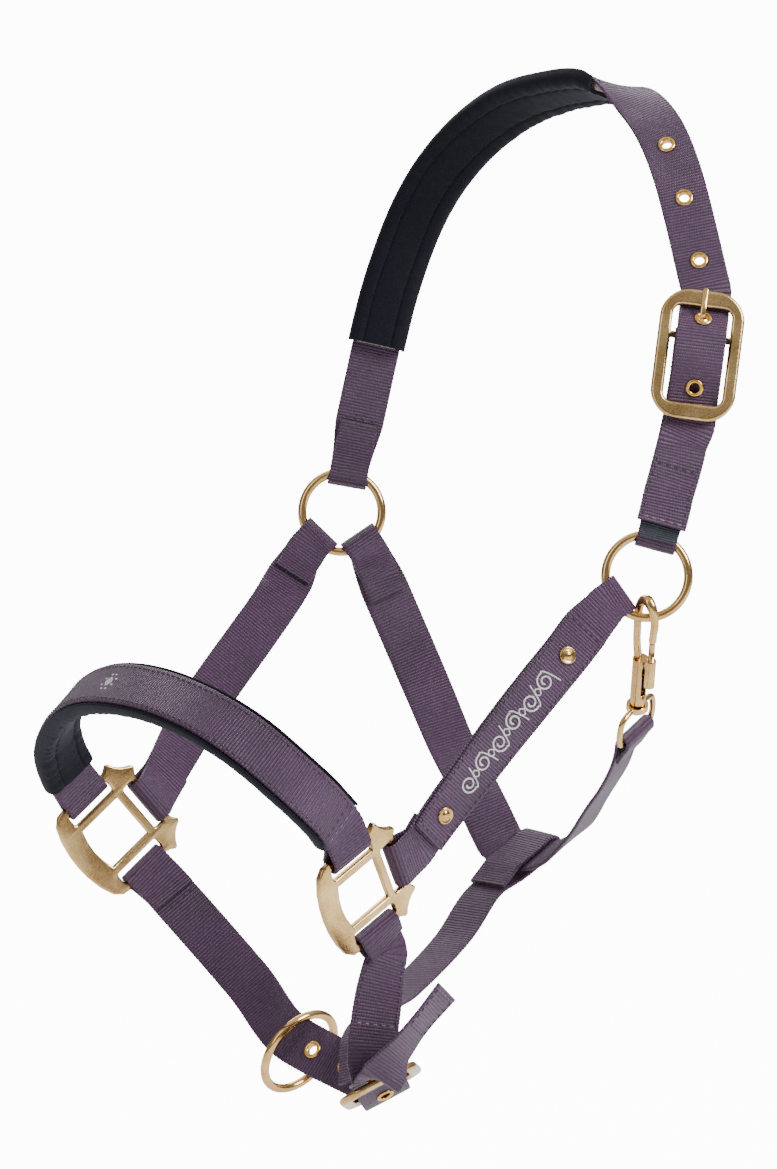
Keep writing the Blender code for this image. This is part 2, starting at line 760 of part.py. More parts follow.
def fittings():
    """Rings, squares and buckles, and the frames that the straps need."""
    right, up, out = facing(FACE_AZIMUTH, FACE_ELEVATION)
    ring("near_ring", NEAR_RING, out, RING_MEAN_RADIUS)
    ring("off_ring", OFF_RING, out, RING_MEAN_RADIUS)
    ring("lead_ring", LEAD_RING, LEAD_RING_AXIS, LEAD_MEAN_RADIUS)
    near = square_fitting("near_square", NEAR_SQUARE, (0.02, 0.88, 0.47), (0.12, -0.47, 0.87),
                          (0.99, 0.04, -0.12))
    off = square_fitting("off_square", OFF_SQUARE, (0.17, 0.76, 0.63), (-0.26, -0.59, 0.76),
                         (-0.96, 0.26, -0.09))
    return right, up, out, near, off


def crown(buckle, under, right, up, out):
    """The strap over the poll, with its pad, its way through the buckle and its free end.

    under is the short strap's line, which the free end lies on.
    """
    start = ring_fold(OFF_RING, right, up, 80.0)
    tail = under.layer(TAIL_RISE, 51.0, under.length - 7.0)
    route = [
        ((-122.0, -53.5, -161.5), -out),
        ((-124.0, -45.0, -136.5), -out),
        ((-125.5, -37.0, -110.0), -out),
        ((-125.5, -28.5, -89.0), (-0.78, 0.60, 0.0)),
        ((-122.5, -21.0, -69.5), (-0.70, 0.70, 0.1)),
        ((-110.0, -15.5, -46.0), (-0.60, 0.75, 0.2)),
        ((-92.0, -10.0, -25.5), (-0.52, 0.70, 0.4)),
        ((-66.0, -4.5, -9.0), (-0.40, 0.66, 0.6)),
        ((-35.0, -2.5, 2.5), (-0.15, 0.55, 0.8)),
        ((0.0, -1.0, 8.5), (0.0, 0.42, 0.9)),
        ((31.0, 1.0, 2.5), (0.2, -0.35, 0.9)),
        ((47.0, -1.5, -6.0), (0.38, -0.5, 0.75)),
        ((60.0, -5.5, -17.5), (0.55, -0.6, 0.5)),
        ((75.0, -12.0, -34.0), out),
        ((87.5, -17.5, -53.5), out),
        ((99.0, -22.5, -72.0), out),
        *buckle.weave(),
        *((place, face, True) for place, face in zip(tail.centre, tail.face)),
    ]
    single, whole = strap(route, start=start)
    webbing_strap = webbing("crown_strap", whole, WEBBING, widths=pinched(whole, at_start=True))
    lining("crown_pad_lining", single.layer(0.0, 66.0, 311.0))
    depth = WEB_THICK / 2 + 0.5 + CORE_THICK / 2
    core("crown_pad_core", single.layer(-depth, 70.0, 304.0))
    return single, webbing_strap


def buckle_strap(buckle, right, up, out):
    """The short strap that holds the crown buckle and the near ring, and its facing."""
    route = [
        (buckle.place(-12.0, -3.4), buckle.z, True),
        (buckle.place(-20.0, -7.2), buckle.z),
        (buckle.place(-30.0, -7.8), buckle.z),
        (buckle.place(-44.0, -6.8), out),
        ((117.5, -60.0, -177.0), out),
    ]
    start = buckle.bar_fold(14.0)
    end = ring_fold(NEAR_RING, right, up, 75.0)
    single, whole = strap(route, start=start, end=end, step=6.0)
    made = webbing("buckle_strap", whole, WEBBING, widths=pinched(whole, at_end=True))
    buckle.tongue_slot("crown_tongue_slot", made)
    offset = WEB_THICK / 2 + LAYER_GAP + 0.2 + FACING_THICK / 2
    facing_line = single.layer(offset, 38.0, single.length - 10.0)
    band("buckle_strap_facing", facing_line, flat(23.0), FACING_THICK, SLATE)
    return single


def near_cheek(right, up, square):
    _, cheek_side, nose_side = square
    start = ring_fold(NEAR_RING, right, up, 215.0)
    end = square_fold(NEAR_SQUARE, cheek_side, nose_side)
    route = [
        ((112.5, -117.5, -251.5), (0.92, -0.4, 0.12)),
        ((110.0, -136.0, -269.0), (0.92, -0.38, 0.12)),
        ((105.0, -171.5, -302.5), (0.96, -0.18, 0.0)),
    ]
    single, whole = strap(route, start=start, end=end, step=6.0)
    base = webbing("near_cheek_strap", whole, WEBBING, widths=pinched(whole, at_start=True))
    upper = single.layer(WEB_THICK + OVERLAY_GAP, 24.0, single.length - 19.0)
    overlay = webbing("near_cheek_overlay", upper, WEBBING, width=24.0)
    rivet("near_cheek_rivet_upper", single, 44.0, (base, overlay))
    rivet("near_cheek_rivet_lower", single, single.length - 34.0, (base, overlay))


def off_cheek(right, up, square):
    _, cheek_side, nose_side = square
    start = ring_fold(OFF_RING, right, up, 226.0)
    end = square_fold(OFF_SQUARE, cheek_side, nose_side)
    face = (-0.9, 0.5, -0.2)
    route = [
        ((-117.0, -109.5, -256.0), face),
        ((-114.0, -138.0, -278.5), face),
        ((-108.0, -182.0, -313.5), face),
    ]
    _, whole = strap(route, start=start, end=end)
    webbing("off_cheek_strap", whole, WEBBING, widths=pinched(whole, at_start=True))


def noseband(near_square, off_square):
    _, near_cheek_side, near_nose_side = near_square
    _, off_cheek_side, off_nose_side = off_square
    start = square_fold(NEAR_SQUARE, near_nose_side, near_cheek_side)
    end = square_fold(OFF_SQUARE, off_nose_side, off_cheek_side)
    route = [
        ((110.5, -277.0, -311.5), (0.95, -0.2, 0.2)),
        ((106.5, -292.0, -295.0), (0.93, -0.22, 0.28)),
        ((95.5, -306.0, -277.5), (0.8, -0.4, 0.45)),
        ((77.0, -315.0, -266.0), (0.45, -0.55, 0.7)),
        ((52.0, -321.0, -260.0), (0.15, -0.6, 0.78)),
        ((22.0, -321.5, -259.0), (0.0, -0.63, 0.77)),
        ((-6.0, -318.0, -263.0), (-0.2, -0.6, 0.75)),
        ((-38.0, -309.0, -273.5), (-0.4, -0.55, 0.7)),
        ((-68.0, -296.5, -290.0), (-0.7, -0.4, 0.5)),
        ((-90.0, -283.0, -307.5), (-0.9, -0.2, 0.3)),
        ((-101.0, -269.0, -325.0), (-0.95, 0.0, 0.15)),
    ]
    single, whole = strap(route, start=start, end=end)
    webbing("noseband_strap", whole, WEBBING)
    end_at = single.length - 17.0
    webbing("noseband_overlay", single.layer(WEB_THICK + LAYER_GAP, 17.0, end_at), WEBBING)
    lining("noseband_lining", single.layer(0.0, 17.0, end_at))
    depth = WEB_THICK / 2 + 0.5 + CORE_THICK / 2
    core("noseband_core", single.layer(-depth, 36.0, single.length - 36.0))


def throat(right, up, eye):
    """The strap from the off ring, under the jaw, to the snap hook's eye."""
    start = ring_fold(OFF_RING, right, up, 304.0)
    bail = np.array(eye @ Vector((0.0, 0.0, -EYE_DROP * MM))) / MM
    end = Fold(bail, np.array(eye.col[0][:3]), EYE_WIRE, 0.0, 15.0, 0.5, outside=True)
    route = [
        ((-105.0, -57.5, -259.0), (-0.75, 0.6, -0.2)),
        ((-99.0, -52.0, -275.0), (-0.75, 0.6, -0.2)),
        ((-90.0, -46.5, -294.5), (-0.75, 0.6, -0.2)),
        ((-73.0, -48.5, -316.5), (-0.75, 0.5, -0.35)),
        ((-57.0, -52.0, -336.5), (-0.67, 0.40, -0.62)),
        ((-33.0, -54.0, -355.5), (-0.45, 0.4, -0.8)),
        (JUNCTION + (-17.0, 0.0, 1.5), JUNCTION_FACE, True),
        (JUNCTION + (-11.0, 0.0, 0.0), JUNCTION_FACE, True),
        (JUNCTION + (11.0, 0.0, 0.0), JUNCTION_FACE, True),
        (JUNCTION + (17.0, 0.0, 1.5), JUNCTION_FACE, True),
        ((45.0, -55.5, -365.5), (0.45, 0.3, -0.8)),
        ((62.0, -55.0, -345.0), (0.65, 0.35, -0.65)),
        ((77.0, -57.0, -327.5), (0.75, 0.37, -0.5)),
    ]
    single, whole = strap(route, start=start, end=end)
    webbing("throat_strap", whole, WEBBING, widths=pinched(whole, at_start=True))
    return single


def connector(throat_line, chin_line):
    """The strap from the throat strap, which it loops round, to the chin strap's inner face."""
    place, along, across, _ = throat_line.frame(distance_at(throat_line, JUNCTION))
    forward = across * math.copysign(1.0, np.dot(across, CHIN_JOIN - place))
    start = Fold(
        place - forward * WEB_WIDTH / 2, along, WEB_THICK / 2, 27.0, 44.0, 1.9, away=forward
    )
    place, along, across, out = chin_line.frame(distance_at(chin_line, CHIN_JOIN))
    last = np.array((19.5, -156.0, -439.0))
    onwards = square_to(place - last, out)
    under = place - out * (WEB_THICK + 4.2)
    route = [
        ((12.0, -107.0, -416.5), (0.0, 0.45, -0.89)),
        (last, (0.0, 0.55, -0.83)),
        (under - onwards * 18.0, out),
        (under - onwards * 6.0, out),
        (under + onwards * 5.0, out),
    ]
    _, whole = strap(route, start=start)
    webbing("chin_connector_strap", whole, WEBBING, width=24.0)


def chin(off_square, near_square):
    """The chin strap with its buckle, and the short strap that holds the buckle."""
    _, off_cheek_side, off_nose_side = off_square
    _, near_cheek_side, near_nose_side = near_square
    buckle = Buckle(CHIN_BUCKLE, CHIN_BUCKLE_ACROSS, -CHIN_BUCKLE_ALONG)
    outer = np.array((-0.12, 0.81, -0.56))
    start = square_fold(OFF_SQUARE, -off_nose_side, off_cheek_side)
    route = [
        ((-61.0, -211.0, -410.0), (-0.75, 0.63, -0.18)),
        ((-34.0, -203.5, -434.0), (-0.6, 0.7, -0.3), True),
        ((0.0, -205.0, -455.0), outer, True),
        ((17.0, -203.5, -459.5), outer, True),
        ((35.0, -200.0, -464.0), outer, True),
        (CHIN_JOIN, (0.05, 0.78, -0.62), True),
        *buckle.weave(),
        ((118.5, -247.5, -446.5), (0.75, -0.45, -0.5)),
        ((122.5, -239.0, -435.0), (0.8, -0.1, -0.6)),
        ((126.5, -226.5, -421.0), (0.8, 0.1, -0.6)),
        ((131.0, -213.5, -406.5), (0.85, 0.1, -0.5)),
    ]
    single, whole = strap(route, start=start)
    made = webbing("chin_strap", whole, WEBBING)
    short_start = square_fold(NEAR_SQUARE, -near_nose_side, near_cheek_side, 14.0, outside=True)
    short_route = [
        ((95.5, -227.0, -405.0), (0.95, -0.25, 0.0)),
        ((99.0, -233.0, -426.0), (0.85, -0.45, -0.1)),
        (buckle.place(-25.5, -14.0), (0.65, -0.6, -0.45)),
        (buckle.place(-20.0, -8.0), buckle.z),
        (buckle.place(-12.0, -3.6), buckle.z, True),
    ]
    short_single, short_whole = strap(
        short_route, start=short_start, end=buckle.bar_fold(18.0), step=6.0
    )
    short = webbing("chin_buckle_strap", short_whole, WEBBING)
    buckle.tongue_slot("chin_tongue_slot", short)
    return buckle, single, made


def eyelets(name, path, strap_object, tongue_at, offsets):
    """Eyelets at whole pitches from the one that the tongue goes through."""
    for i, offset in enumerate(offsets):
        eyelet(f"{name}_{i + 1}", path, tongue_at + offset, strap_object)


def main():
    right, up, out, near, off = fittings()
    buckle = Buckle(CROWN_BUCKLE, right, CROWN_BUCKLE_UP, shift=0.5)
    under = buckle_strap(buckle, right, up, out)
    crown_line, crown_strap = crown(buckle, under, right, up, out)
    buckle.build("crown_buckle")
    buckle.tongue("crown_buckle")
    tongue_at = distance_at(crown_line, buckle.place(17.6, 2.2))
    eyelets("crown_eyelet", crown_line, crown_strap, tongue_at, (-103.0, -70.0, -35.0, 0.0, 36.0))
    near_cheek(right, up, near)
    off_cheek(right, up, off)
    noseband(near, off)
    on_ring = math.radians(SNAP_ON_RING)
    held = NEAR_RING + (math.cos(on_ring) * right + math.sin(on_ring) * up) * RING_MEAN_RADIUS
    z = unit(SNAP_UP)
    x, eye_x = square_to(SNAP_SIDE, z), square_to(EYE_SIDE, z)
    base = held - z * SNAP_REACH - x * HOOK_MIDDLE
    snap = placement(base, x, np.cross(z, x), z)
    eye = placement(base, eye_x, np.cross(z, eye_x), z)
    snap_body(snap)
    snap_bolt(snap)
    snap_spring(snap)
    snap_eye(eye)
    throat_line = throat(right, up, eye)
    buckle, chin_line, chin_strap = chin(off, near)
    connector(throat_line, chin_line)
    buckle.build("chin_buckle")
    buckle.tongue("chin_buckle")
    tongue_at = distance_at(chin_line, buckle.place(17.6, 2.2))
    pitches = range(-3, 3)
    eyelets("chin_eyelet", chin_line, chin_strap, tongue_at, [22.0 * i for i in pitches])


def distance_at(path, place):
    """The distance along a path of the point nearest to a place."""
    at = np.linspace(0.0, path.length, 2000)
    gaps = np.linalg.norm(smooth(path.at, path.centre, at) - place, axis=1)
    return at[np.argmin(gaps)]


clear_scene()
PARTS = collection("headcollar")
CUTTERS = collection("cutters", hidden=True)
WEBBING = material("aubergine_webbing", (0.085, 0.045, 0.085), 0.75)
NEOPRENE_LOOK = material("navy_neoprene", (0.012, 0.014, 0.024), 0.85)
FOAM = material("grey_foam", (0.25, 0.25, 0.27), 0.9)
SLATE = material("slate_facing", (0.03, 0.035, 0.06), 0.8)
GOLD = material("champagne_gold", (0.72, 0.56, 0.34), 0.28, 1.0)
BRASS = material("brass", (0.85, 0.60, 0.22), 0.25, 1.0)
STEEL = material("spring_steel", (0.55, 0.55, 0.56), 0.35, 1.0)
main()
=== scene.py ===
"""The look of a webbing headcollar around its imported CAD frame: woven straps, stitching, a
neoprene noseband and poll pad, cast and wire fittings, a camera and soft studio light.

The frame's origin is the poll. +X is the near side (the horse's left), -Y is towards the nose
and +Z is up. Places and lengths below are in millimetres unless a name says otherwise.
"""

import json
import math

import bmesh
import bpy
import numpy as np
from mathutils import Matrix, Vector

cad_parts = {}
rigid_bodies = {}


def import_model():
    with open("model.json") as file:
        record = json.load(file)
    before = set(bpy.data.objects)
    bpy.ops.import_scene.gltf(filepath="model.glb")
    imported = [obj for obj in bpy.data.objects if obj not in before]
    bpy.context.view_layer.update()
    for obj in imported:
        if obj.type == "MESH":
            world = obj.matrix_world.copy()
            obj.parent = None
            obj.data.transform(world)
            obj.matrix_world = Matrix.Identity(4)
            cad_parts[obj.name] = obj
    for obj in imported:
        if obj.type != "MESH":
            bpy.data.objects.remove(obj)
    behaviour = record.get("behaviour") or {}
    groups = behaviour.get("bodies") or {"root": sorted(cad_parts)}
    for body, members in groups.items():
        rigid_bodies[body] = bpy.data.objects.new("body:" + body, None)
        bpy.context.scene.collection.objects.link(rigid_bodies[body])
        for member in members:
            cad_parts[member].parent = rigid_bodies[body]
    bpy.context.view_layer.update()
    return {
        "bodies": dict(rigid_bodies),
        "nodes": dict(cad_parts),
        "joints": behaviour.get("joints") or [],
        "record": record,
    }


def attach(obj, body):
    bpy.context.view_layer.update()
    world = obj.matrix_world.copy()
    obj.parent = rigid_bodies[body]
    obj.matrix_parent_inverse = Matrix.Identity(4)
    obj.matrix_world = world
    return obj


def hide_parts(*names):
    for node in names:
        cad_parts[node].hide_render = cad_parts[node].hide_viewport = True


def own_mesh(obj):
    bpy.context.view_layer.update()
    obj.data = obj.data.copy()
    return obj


MM = 0.001

# Webbing
WEB_WIDTH = 25.0
WEB_THICK = 1.8
LAYER_GAP = 0.3
OVERLAY_GAP = 0.45
RING_PINCH = 20.0
RING_BACK = 34.0
STATION = 8.0
STRAIGHTEN = 40
WEAVE_STEP = 1.1
EDGE_KNOB = 0.1

# How finely the pieces are made, and where they are kept until they are dressed
CUTTERS = "cutters"
PIECES = {}
WIRE_STEP = 1.2
WIRE_SIDES = 7
FINE_TURN = 48

# Padding: the neoprene that wraps the foam and the webbing's edges
PAD_WIDTH = 29.0
PAD_DEPTH = 6.4
NEOPRENE = 1.6
FACING_THICK = 0.8
SEAM_AT = 7.2
TAIL_RISE = WEB_THICK + FACING_THICK + 2 * LAYER_GAP + 0.5

# Rings
RING_MEAN_RADIUS = 20.5
RING_WIRE = 4.5
LEAD_MEAN_RADIUS = 22.0
FACE_AZIMUTH = 50.0
FACE_ELEVATION = 10.6
SNAP_ON_RING = -90.4

# Places of the fittings
NEAR_RING = np.array((118.0, -73.0, -220.0))
OFF_RING = np.array((-118.0, -73.0, -220.0))
NEAR_SQUARE = np.array((97.0, -239.0, -359.0))
OFF_SQUARE = np.array((-97.0, -239.5, -362.0))
JUNCTION = np.array((6.0, -56.0, -381.0))
CHIN_BUCKLE = np.array((88.5, -220.0, -461.0))
CROWN_BUCKLE = np.array((115.5, -38.0, -113.5))
CROWN_BUCKLE_UP = np.array((-0.17, 0.31, 0.935))
CHIN_BUCKLE_ACROSS = np.array((-0.50, -0.73, -0.46))
CHIN_BUCKLE_ALONG = np.array((0.69, -0.66, 0.29))
LEAD_RING = np.array((-0.5, -198.5, -464.0))
LEAD_RING_AXIS = np.array((0.92, 0.05, -0.39))
SNAP_UP = np.array((0.365, -0.254, 0.896))
SNAP_SIDE = np.array((0.92, -0.03, -0.39))
EYE_SIDE = np.array((-0.22, 0.90, 0.37))

# Where the connector loops round the throat strap, and where it is stitched to the chin strap
JUNCTION_FACE = np.array((0.0, 0.45, -0.893))
CHIN_JOIN = np.array((52.0, -198.9, -466.6))

# Cast squares
WINDOW = 25.0
SQUARE_BAR = 4.5
SLOT_LENGTH = 27.0
SLOT_GAP = 6.3
OUTER_BAR = 3.2
SQUARE_THICK = 3.8
OUTER_BAR_AT = WINDOW / 2 + SQUARE_BAR + SLOT_GAP + OUTER_BAR / 2

# Buckles
BUCKLE_OUTER = (43.0, 66.0)
BUCKLE_WINDOW = (30.0, 49.0)
BUCKLE_THICK = 4.0
BUCKLE_BAR = 3.4
BUCKLE_BAR_AT = 9.0
TONGUE_WIRE = 2.7

# Eyelets and rivets
EYELET_HOLE = 5.0
EYELET_FLANGE = 9.0
EYELET_RIM = 0.5
RIVET_HEAD = 9.0

# Sewing
STITCH = 2.7
STITCH_GAP = 0.9
THREAD = 0.75
EDGE_SEAM = 10.4
FACE_RISE = WEB_THICK / 2 + 0.16

# The view: where the camera looks from the front left, and how much it takes in
LOOK_AT = (0.0003, -0.1409, -0.2329)
CAMERA_AWAY = 4.0
VIEW_HEIGHT = 0.5845
FLOOR_AT = -0.62

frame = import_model()
record = frame["record"]
body_of = {node: body for body, nodes in record["behaviour"]["bodies"].items() for node in nodes}


# ---------------------------------------------------------------- directions and smooth curves


def unit(vector):
    vector = np.asarray(vector, float)
    return vector / np.linalg.norm(vector)


def square_to(vector, axis):
    """The unit vector nearest to vector that is square to the unit axis."""
    return unit(np.asarray(vector, float) - axis * np.dot(vector, axis))


def facing(azimuth, elevation):
    """Right, up and outward directions of a flat face turned to an azimuth and an elevation."""
    a, e = math.radians(azimuth), math.radians(elevation)
    right = np.array((math.cos(a), math.sin(a), 0.0))
    out = np.array((math.sin(a) * math.cos(e), -math.cos(a) * math.cos(e), math.sin(e)))
    return right, np.cross(out, right), out


def smooth(knots, values, at):
    """Values at the distances asked for, on a smooth curve through the values at the knots."""
    slopes = np.gradient(values, knots, axis=0)
    i = np.clip(np.searchsorted(knots, at, side="right") - 1, 0, len(knots) - 2)
    span = (knots[i + 1] - knots[i])[:, None]
    t = (at - knots[i])[:, None] / span
    return (
        (1 + 2 * t) * (1 - t) ** 2 * values[i]
        + t * (1 - t) ** 2 * span * slopes[i]
        + t * t * (3 - 2 * t) * values[i + 1]
        + t * t * (t - 1) * span * slopes[i + 1]
    )


def distances(points):
    return np.concatenate(([0.0], np.cumsum(np.linalg.norm(np.diff(points, axis=0), axis=1))))


class Path:
    """A strap's centre line and, at each station, the direction that its outer side faces."""

    def __init__(self, centre, face):
        self.centre = np.array(centre, float)
        self.along = np.gradient(self.centre, axis=0)
        self.along /= np.linalg.norm(self.along, axis=1)[:, None]
        face = np.array(face, float)
        face -= self.along * (face * self.along).sum(axis=1)[:, None]
        self.face = face / np.linalg.norm(face, axis=1)[:, None]
        self.across = np.cross(self.along, self.face)
        self.at = distances(self.centre)
        self.length = self.at[-1]

    def turned_round(self):
        return Path(self.centre[::-1], self.face[::-1])

    def layer(self, offset, start=0.0, stop=None):
        """The same stations moved outwards by offset, from start to stop along the line."""
        stop = self.length if stop is None else stop
        kept = (self.at >= start) & (self.at <= stop)
        return Path(self.centre[kept] + self.face[kept] * offset, self.face[kept])

    def fine(self, step):
        """The same line with stations every step or so, and where they lie on this one."""
        at = np.linspace(0.0, self.length, math.ceil(self.length / step) + 1)
        return Path(smooth(self.at, self.centre, at), smooth(self.at, self.face, at)), at

    def frame(self, distance):
        """Place, direction along, direction across and outward direction at a distance."""
        at = np.array((distance,))
        out = unit(smooth(self.at, self.face, at)[0])
        along = square_to(smooth(self.at, self.along, at)[0], out)
        return smooth(self.at, self.centre, at)[0], along, np.cross(along, out), out


class Fold:
    """A strap's end taken round a bar and back under itself, or over itself if outside is set.

    hold is how far past the bar its two legs stay apart, and back is the length that returns.
    """

    MEET = 14.0
    PITCH = WEB_THICK + 0.4
    ARC = (45, 0, -45, -90)

    def __init__(self, bar, axis, half, hold=0.0, back=28.0, spare=0.5, away=None, outside=False):
        self.bar = np.array(bar, float)
        self.axis = unit(axis)
        self.away = None if away is None else square_to(away, self.axis)
        self.radius = half + spare + WEB_THICK / 2
        self.hold = hold
        self.back = back
        self.side = -1.0 if outside else 1.0

    def lead(self, towards, face):
        """The points where the strap's own leg leaves the bar, nearest the bar first."""
        if self.away is None:
            self.away = square_to(towards - self.bar, self.axis)
        self.out = np.cross(self.axis, self.away)
        self.out *= math.copysign(1.0, np.dot(self.out, face))
        leg = self.out * self.side
        points = [self.bar + leg * self.radius]
        if self.hold:
            points.append(self.bar + self.away * self.hold + leg * self.radius)
        points.append(self.bar + self.away * (self.hold + self.MEET) + leg * self.PITCH / 2)
        return points

    def wrap(self, path):
        """The path, which ends above the bar, carried round it and back."""
        centre, face = list(path.centre), list(path.face)
        for angle in self.ARC:
            turn = math.cos(math.radians(angle)) * -self.away
            turn = turn + math.sin(math.radians(angle)) * self.out * self.side
            centre.append(self.bar + turn * self.radius)
            face.append(turn * self.side)
        for i in range(len(path.centre) - 2, -1, -1):
            gone = path.length - path.at[i]
            if gone > self.back:
                break
            t = min(max((gone - self.hold) / self.MEET, 0.0), 1.0)
            apart = 2 * self.radius
            apart += (self.PITCH - apart) * t * t * (3 - 2 * t)
            centre.append(path.centre[i] - path.face[i] * apart * self.side)
            face.append(-path.face[i])
        return Path(centre, face)


def straightened(path, held):
    """The path with its edgeways waves smoothed out, because webbing hardly bends that way.

    Stations slide along the strap's width only, and those marked as held stay put.
    """
    free = ~held[1:-1]
    for _ in range(STRAIGHTEN):
        gaps = np.diff(path.at)
        share = (gaps[:-1] / (gaps[:-1] + gaps[1:]))[:, None]
        between = path.centre[:-2] * (1 - share) + path.centre[2:] * share
        slide = ((between - path.centre[1:-1]) * path.across[1:-1]).sum(axis=1) * free
        centre = path.centre.copy()
        centre[1:-1] += path.across[1:-1] * slide[:, None] * 0.5
        path = Path(centre, path.face)
    return path


def strap(route, start=None, end=None, step=STATION):
    """(single layer, whole strap with its folds) along a route of (place, outward direction).

    A third item in a route's point, if true, holds that point where it is.
    """
    places = [np.array(point[0], float) for point in route]
    faces = [np.array(point[1], float) for point in route]
    held = [len(point) > 2 for point in route]
    if start:
        lead = start.lead(places[0], faces[0])
        places = lead + places
        faces = [start.out] * len(lead) + faces
        held = [True] * (len(lead) - 1) + [not start.hold] + held
    if end:
        lead = end.lead(places[-1], faces[-1])
        places = places + lead[::-1]
        faces = faces + [end.out] * len(lead)
        held = held + [not end.hold] + [True] * (len(lead) - 1)
    places, faces = np.array(places), np.array(faces)
    knots = distances(places)
    at, still = [0.0], [True]
    for i in range(len(knots) - 1):
        count = math.ceil((knots[i + 1] - knots[i]) / step)
        at.extend(np.linspace(knots[i], knots[i + 1], count + 1)[1:])
        still += [held[i] and held[i + 1]] * (count - 1) + [held[i + 1]]
    at = np.array(at)
    single = Path(smooth(knots, places, at), smooth(knots, faces, at))
    single = straightened(single, np.array(still))
    whole = single
    if start:
        whole = start.wrap(whole.turned_round()).turned_round()
    if end:
        whole = end.wrap(whole)
    return single, whole


# ---------------------------------------------------------------- materials


class Look:
    """A node material, written as sums on its sockets."""

    def __init__(self, name, roughness, metallic=0.0, sheen=0.0, tint=(1.0, 1.0, 1.0, 1.0)):
        self.made = bpy.data.materials.new(name)
        self.made.use_nodes = True
        self.tree = self.made.node_tree
        self.shader = self.tree.nodes["Principled BSDF"]
        self.shader.inputs["Roughness"].default_value = roughness
        self.shader.inputs["Metallic"].default_value = metallic
        self.shader.inputs["Sheen Weight"].default_value = sheen
        self.shader.inputs["Sheen Roughness"].default_value = 0.4
        self.shader.inputs["Sheen Tint"].default_value = tint

    def node(self, kind, **sockets):
        made = self.tree.nodes.new("ShaderNode" + kind)
        for name, value in sockets.items():
            self.put(value, made.inputs[name])
        return made

    def put(self, value, socket):
        if isinstance(value, bpy.types.NodeSocket):
            self.tree.links.new(value, socket)
        else:
            socket.default_value = value

    def sum(self, operation, *values):
        made = self.tree.nodes.new("ShaderNodeMath")
        made.operation = operation
        for socket, value in zip(made.inputs, values):
            self.put(value, socket)
        return made.outputs[0]

    def noise(self, scale, detail=3.0, stretch=(1.0, 1.0, 1.0)):
        """Noise over the piece itself, with scale in lumps per metre."""
        place = self.tree.nodes.new("ShaderNodeTexCoord").outputs["Object"]
        size = self.node("Mapping", Vector=place, Scale=stretch)
        made = self.node("TexNoise", Vector=size.outputs[0], Scale=scale, Detail=detail)
        return made.outputs[0]

    def grains(self, scale):
        """Small cells, with scale in cells per metre."""
        place = self.tree.nodes.new("ShaderNodeTexCoord").outputs["Object"]
        return self.node("TexVoronoi", Vector=place, Scale=scale).outputs["Distance"]

    def ramp(self, value, *stops):
        made = self.node("ValToRGB", Fac=value)
        points = made.color_ramp.elements
        while len(points) < len(stops):
            points.new(0.5)
        for point, (at, colour) in zip(points, stops):
            point.position = at
            point.color = (*linear(colour), 1.0)
        return made.outputs[0]

    def blend(self, factor, first, second, kind="MIX"):
        made = self.tree.nodes.new("ShaderNodeMix")
        made.data_type = "RGBA"
        made.blend_type = kind
        self.put(factor, made.inputs[0])
        self.put(first, made.inputs[6])
        self.put(second, made.inputs[7])
        return made.outputs[2]

    def colour(self, value):
        self.put(value, self.shader.inputs["Base Color"])

    def roughness(self, value, low, high):
        spread = self.node("MapRange", Value=value)
        spread.inputs["To Min"].default_value = low
        spread.inputs["To Max"].default_value = high
        self.put(spread.outputs[0], self.shader.inputs["Roughness"])

    def bump(self, height, depth, strength=1.0):
        """Raise the surface by up to depth millimetres where height is one."""
        made = self.node("Bump", Height=height, Strength=strength, Distance=depth * MM)
        self.put(made.outputs[0], self.shader.inputs["Normal"])


def linear(colour):
    """A colour as it looks on screen, in parts of 255, as light."""
    parts = [value / 255 for value in colour]
    return [p / 12.92 if p <= 0.04045 else ((p + 0.055) / 1.055) ** 2.4 for p in parts]


def cloth(name, valley_shade, crest, rib=1.6, yarn=0.85, sheen=0.1):
    """Webbing: ribs across the strap, each made of warp yarns that shift by half on the next. Its colour
    holds painted shade: it darkens from the crests into the valleys between ribs and yarns.
    """
    look = Look(name, 0.55, sheen=sheen, tint=(0.86, 0.74, 0.9, 1.0))
    place = look.tree.nodes.new("ShaderNodeUVMap")
    place.uv_map = "cloth"
    parts = look.node("SeparateXYZ", Vector=place.outputs[0])
    along = look.sum("MULTIPLY", parts.outputs[1], 1.0 / (rib * MM))
    across = look.sum("MULTIPLY", parts.outputs[0], 1.0 / (yarn * MM))
    row = look.sum("MODULO", look.sum("FLOOR", along), 2.0)
    across = look.sum("ADD", across, look.sum("MULTIPLY", row, 0.5))
    ribs = look.sum("ABSOLUTE", look.sum("SINE", look.sum("MULTIPLY", along, math.pi)))
    yarns = look.sum("ABSOLUTE", look.sum("SINE", look.sum("MULTIPLY", across, math.pi)))
    height = look.sum("ADD", look.sum("MULTIPLY", ribs, 0.65), look.sum("MULTIPLY", yarns, 0.35))
    fray = look.noise(1400.0, 2.0)
    height = look.sum("ADD", height, look.sum("MULTIPLY", fray, 0.35))
    # painted shade: dark in the weave's valleys, the cloth's own colour on its crests
    shaded_weave = look.ramp(look.sum("MULTIPLY", height, 0.75), (0.2, valley_shade), (0.72, crest))
    worn = look.ramp(look.noise(38.0, 4.0), (0.3, (214, 206, 214)), (0.72, (255, 255, 255)))
    look.colour(look.blend(1.0, shaded_weave, worn, "MULTIPLY"))
    look.roughness(look.noise(90.0), 0.34, 0.5)
    look.bump(height, 0.42, 1.0)
    return look.made


def sewing_thread(name, dark, light):
    look = Look(name, 0.5, sheen=0.3)
    look.colour(look.ramp(look.noise(900.0, 2.0), (0.3, dark), (0.7, light)))
    look.bump(look.noise(2600.0, 1.0), 0.05, 0.7)
    return look.made


